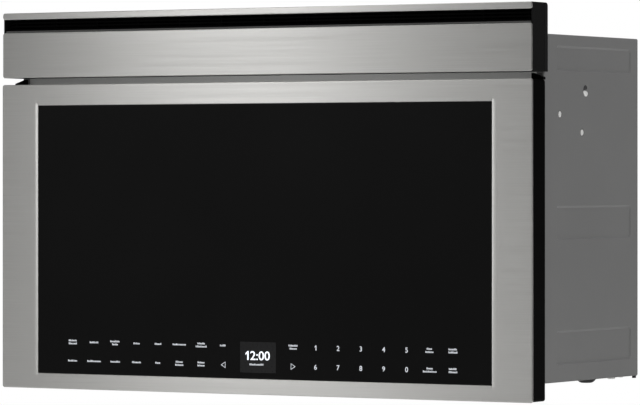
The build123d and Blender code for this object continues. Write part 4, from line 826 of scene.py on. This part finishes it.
def curtain_material():
    """Light sheet whose brightness follows the height and falls towards the right."""
    paint = Painter("curtain")
    split = paint.node("ShaderNodeSeparateXYZ")
    paint.link(paint.place, split.inputs["Vector"])
    strength = paint.ramp(split.outputs["X"], CURTAIN_BRIGHT_X, CURTAIN_DIM_X, 1.0, CURTAIN_DIM)
    height = paint.ramp(split.outputs["Z"], CURTAIN_LOW, CURTAIN_HIGH)
    bands = paint.node("ShaderNodeValToRGB")
    paint.link(height, bands.inputs["Fac"])
    stops = bands.color_ramp.elements
    stops.remove(stops[1])
    for number, (level, bright) in enumerate(CURTAIN_STOPS):
        at = (level - CURTAIN_LOW) / (CURTAIN_HIGH - CURTAIN_LOW)
        stop = stops.new(at) if number else stops[0]
        stop.position = at
        stop.color = (*grey(bright), 1)
    glow = paint.node("ShaderNodeEmission")
    paint.link(bands.outputs["Color"], glow.inputs["Color"])
    paint.link(strength, glow.inputs["Strength"])
    paint.surface(glow.outputs["Emission"])
    return paint.material


ring = []
for level in (CURTAIN_LOW, CURTAIN_HIGH):
    for side in range(CURTAIN_SIDES):
        angle = 2 * math.pi * side / CURTAIN_SIDES
        ring.append((CURTAIN_RADIUS * math.cos(angle), CURTAIN_RADIUS * math.sin(angle), level))
panels = []
for side in range(CURTAIN_SIDES):
    after = (side + 1) % CURTAIN_SIDES
    panels.append((side, after, CURTAIN_SIDES + after, CURTAIN_SIDES + side))
curtain = plain_mesh("curtain", ring, panels)
curtain.data.materials.append(curtain_material())
curtain.visible_camera = False
curtain.visible_diffuse = False
curtain.visible_transmission = False
curtain.visible_volume_scatter = False
curtain.visible_shadow = False


def softbox(name, centre, aim, width, tall, power, glossy=True):
    """A rectangular area light turned towards a point, which metal and glass mirror if glossy."""
    lamp = bpy.data.lights.new(name, "AREA")
    lamp.shape = "RECTANGLE"
    lamp.size = width
    lamp.size_y = tall
    lamp.energy = power
    holder = bpy.data.objects.new(name, lamp)
    bpy.context.scene.collection.objects.link(holder)
    holder.location = centre
    holder.rotation_euler = (Vector(aim) - Vector(centre)).to_track_quat("-Z", "Y").to_euler()
    holder.visible_glossy = glossy
    holder.visible_camera = False
    return holder


# Two lights for the painted faces, one from the front and above, one from the right
softbox("front_light", (-1.3, -3.0, 2.6), (0, -0.2, 0), 2.2, 1.6, power=60.0, glossy=False)
softbox("side_light", (3.6, 0.6, 1.8), (0.3, 0, 0), 1.8, 1.8, power=58.0, glossy=False)

# A small light level with the gap above the door, which lights the sheet behind it
LEVEL_X = 0.03
LEVEL_AHEAD = 0.4
gap_middle = (door_high.z + panel_low.z) / 2
softbox(
    "level_light", (LEVEL_X, FRONT - LEVEL_AHEAD, gap_middle), (LEVEL_X, FRONT, gap_middle),
    0.1, 0.03, power=0.39, glossy=False
)

# Two upright strips, one above the other, whose reflection is the bright band in the steel
STRIP_X = -1.965
STRIP_Y = -3.243
STRIP_AIM_X = -0.09
STRIP_WIDE = 0.44
for name, height, tall, power in (("high_strip", 1.65, 2.3, 12.2), ("low_strip", -0.555, 0.2, 0.45)):
    softbox(name, (STRIP_X, STRIP_Y, height), (STRIP_AIM_X, FRONT, height), STRIP_WIDE, tall, power)


# Camera at the photograph's place, level and turned by its heading

HEADING = math.radians(30.806)
CAMERA_PLACE = (2.765, -4.7754, 0.041)
SENSOR_WIDE = 36.0
LENS = 243.86
SHIFT_X = 0.00116
SHIFT_Y = -0.0448
CAMERA_REACH = 200.0
camera_data = bpy.data.cameras.new("camera")
camera_data.sensor_width = SENSOR_WIDE
camera_data.lens = LENS
camera_data.shift_x = SHIFT_X
camera_data.shift_y = SHIFT_Y
camera_data.clip_end = CAMERA_REACH
camera = bpy.data.objects.new("camera", camera_data)
bpy.context.scene.collection.objects.link(camera)
camera.location = CAMERA_PLACE
camera.rotation_euler = (math.radians(90), 0.0, HEADING)
bpy.context.scene.camera = camera
bpy.context.scene.view_settings.view_transform = "Standard"
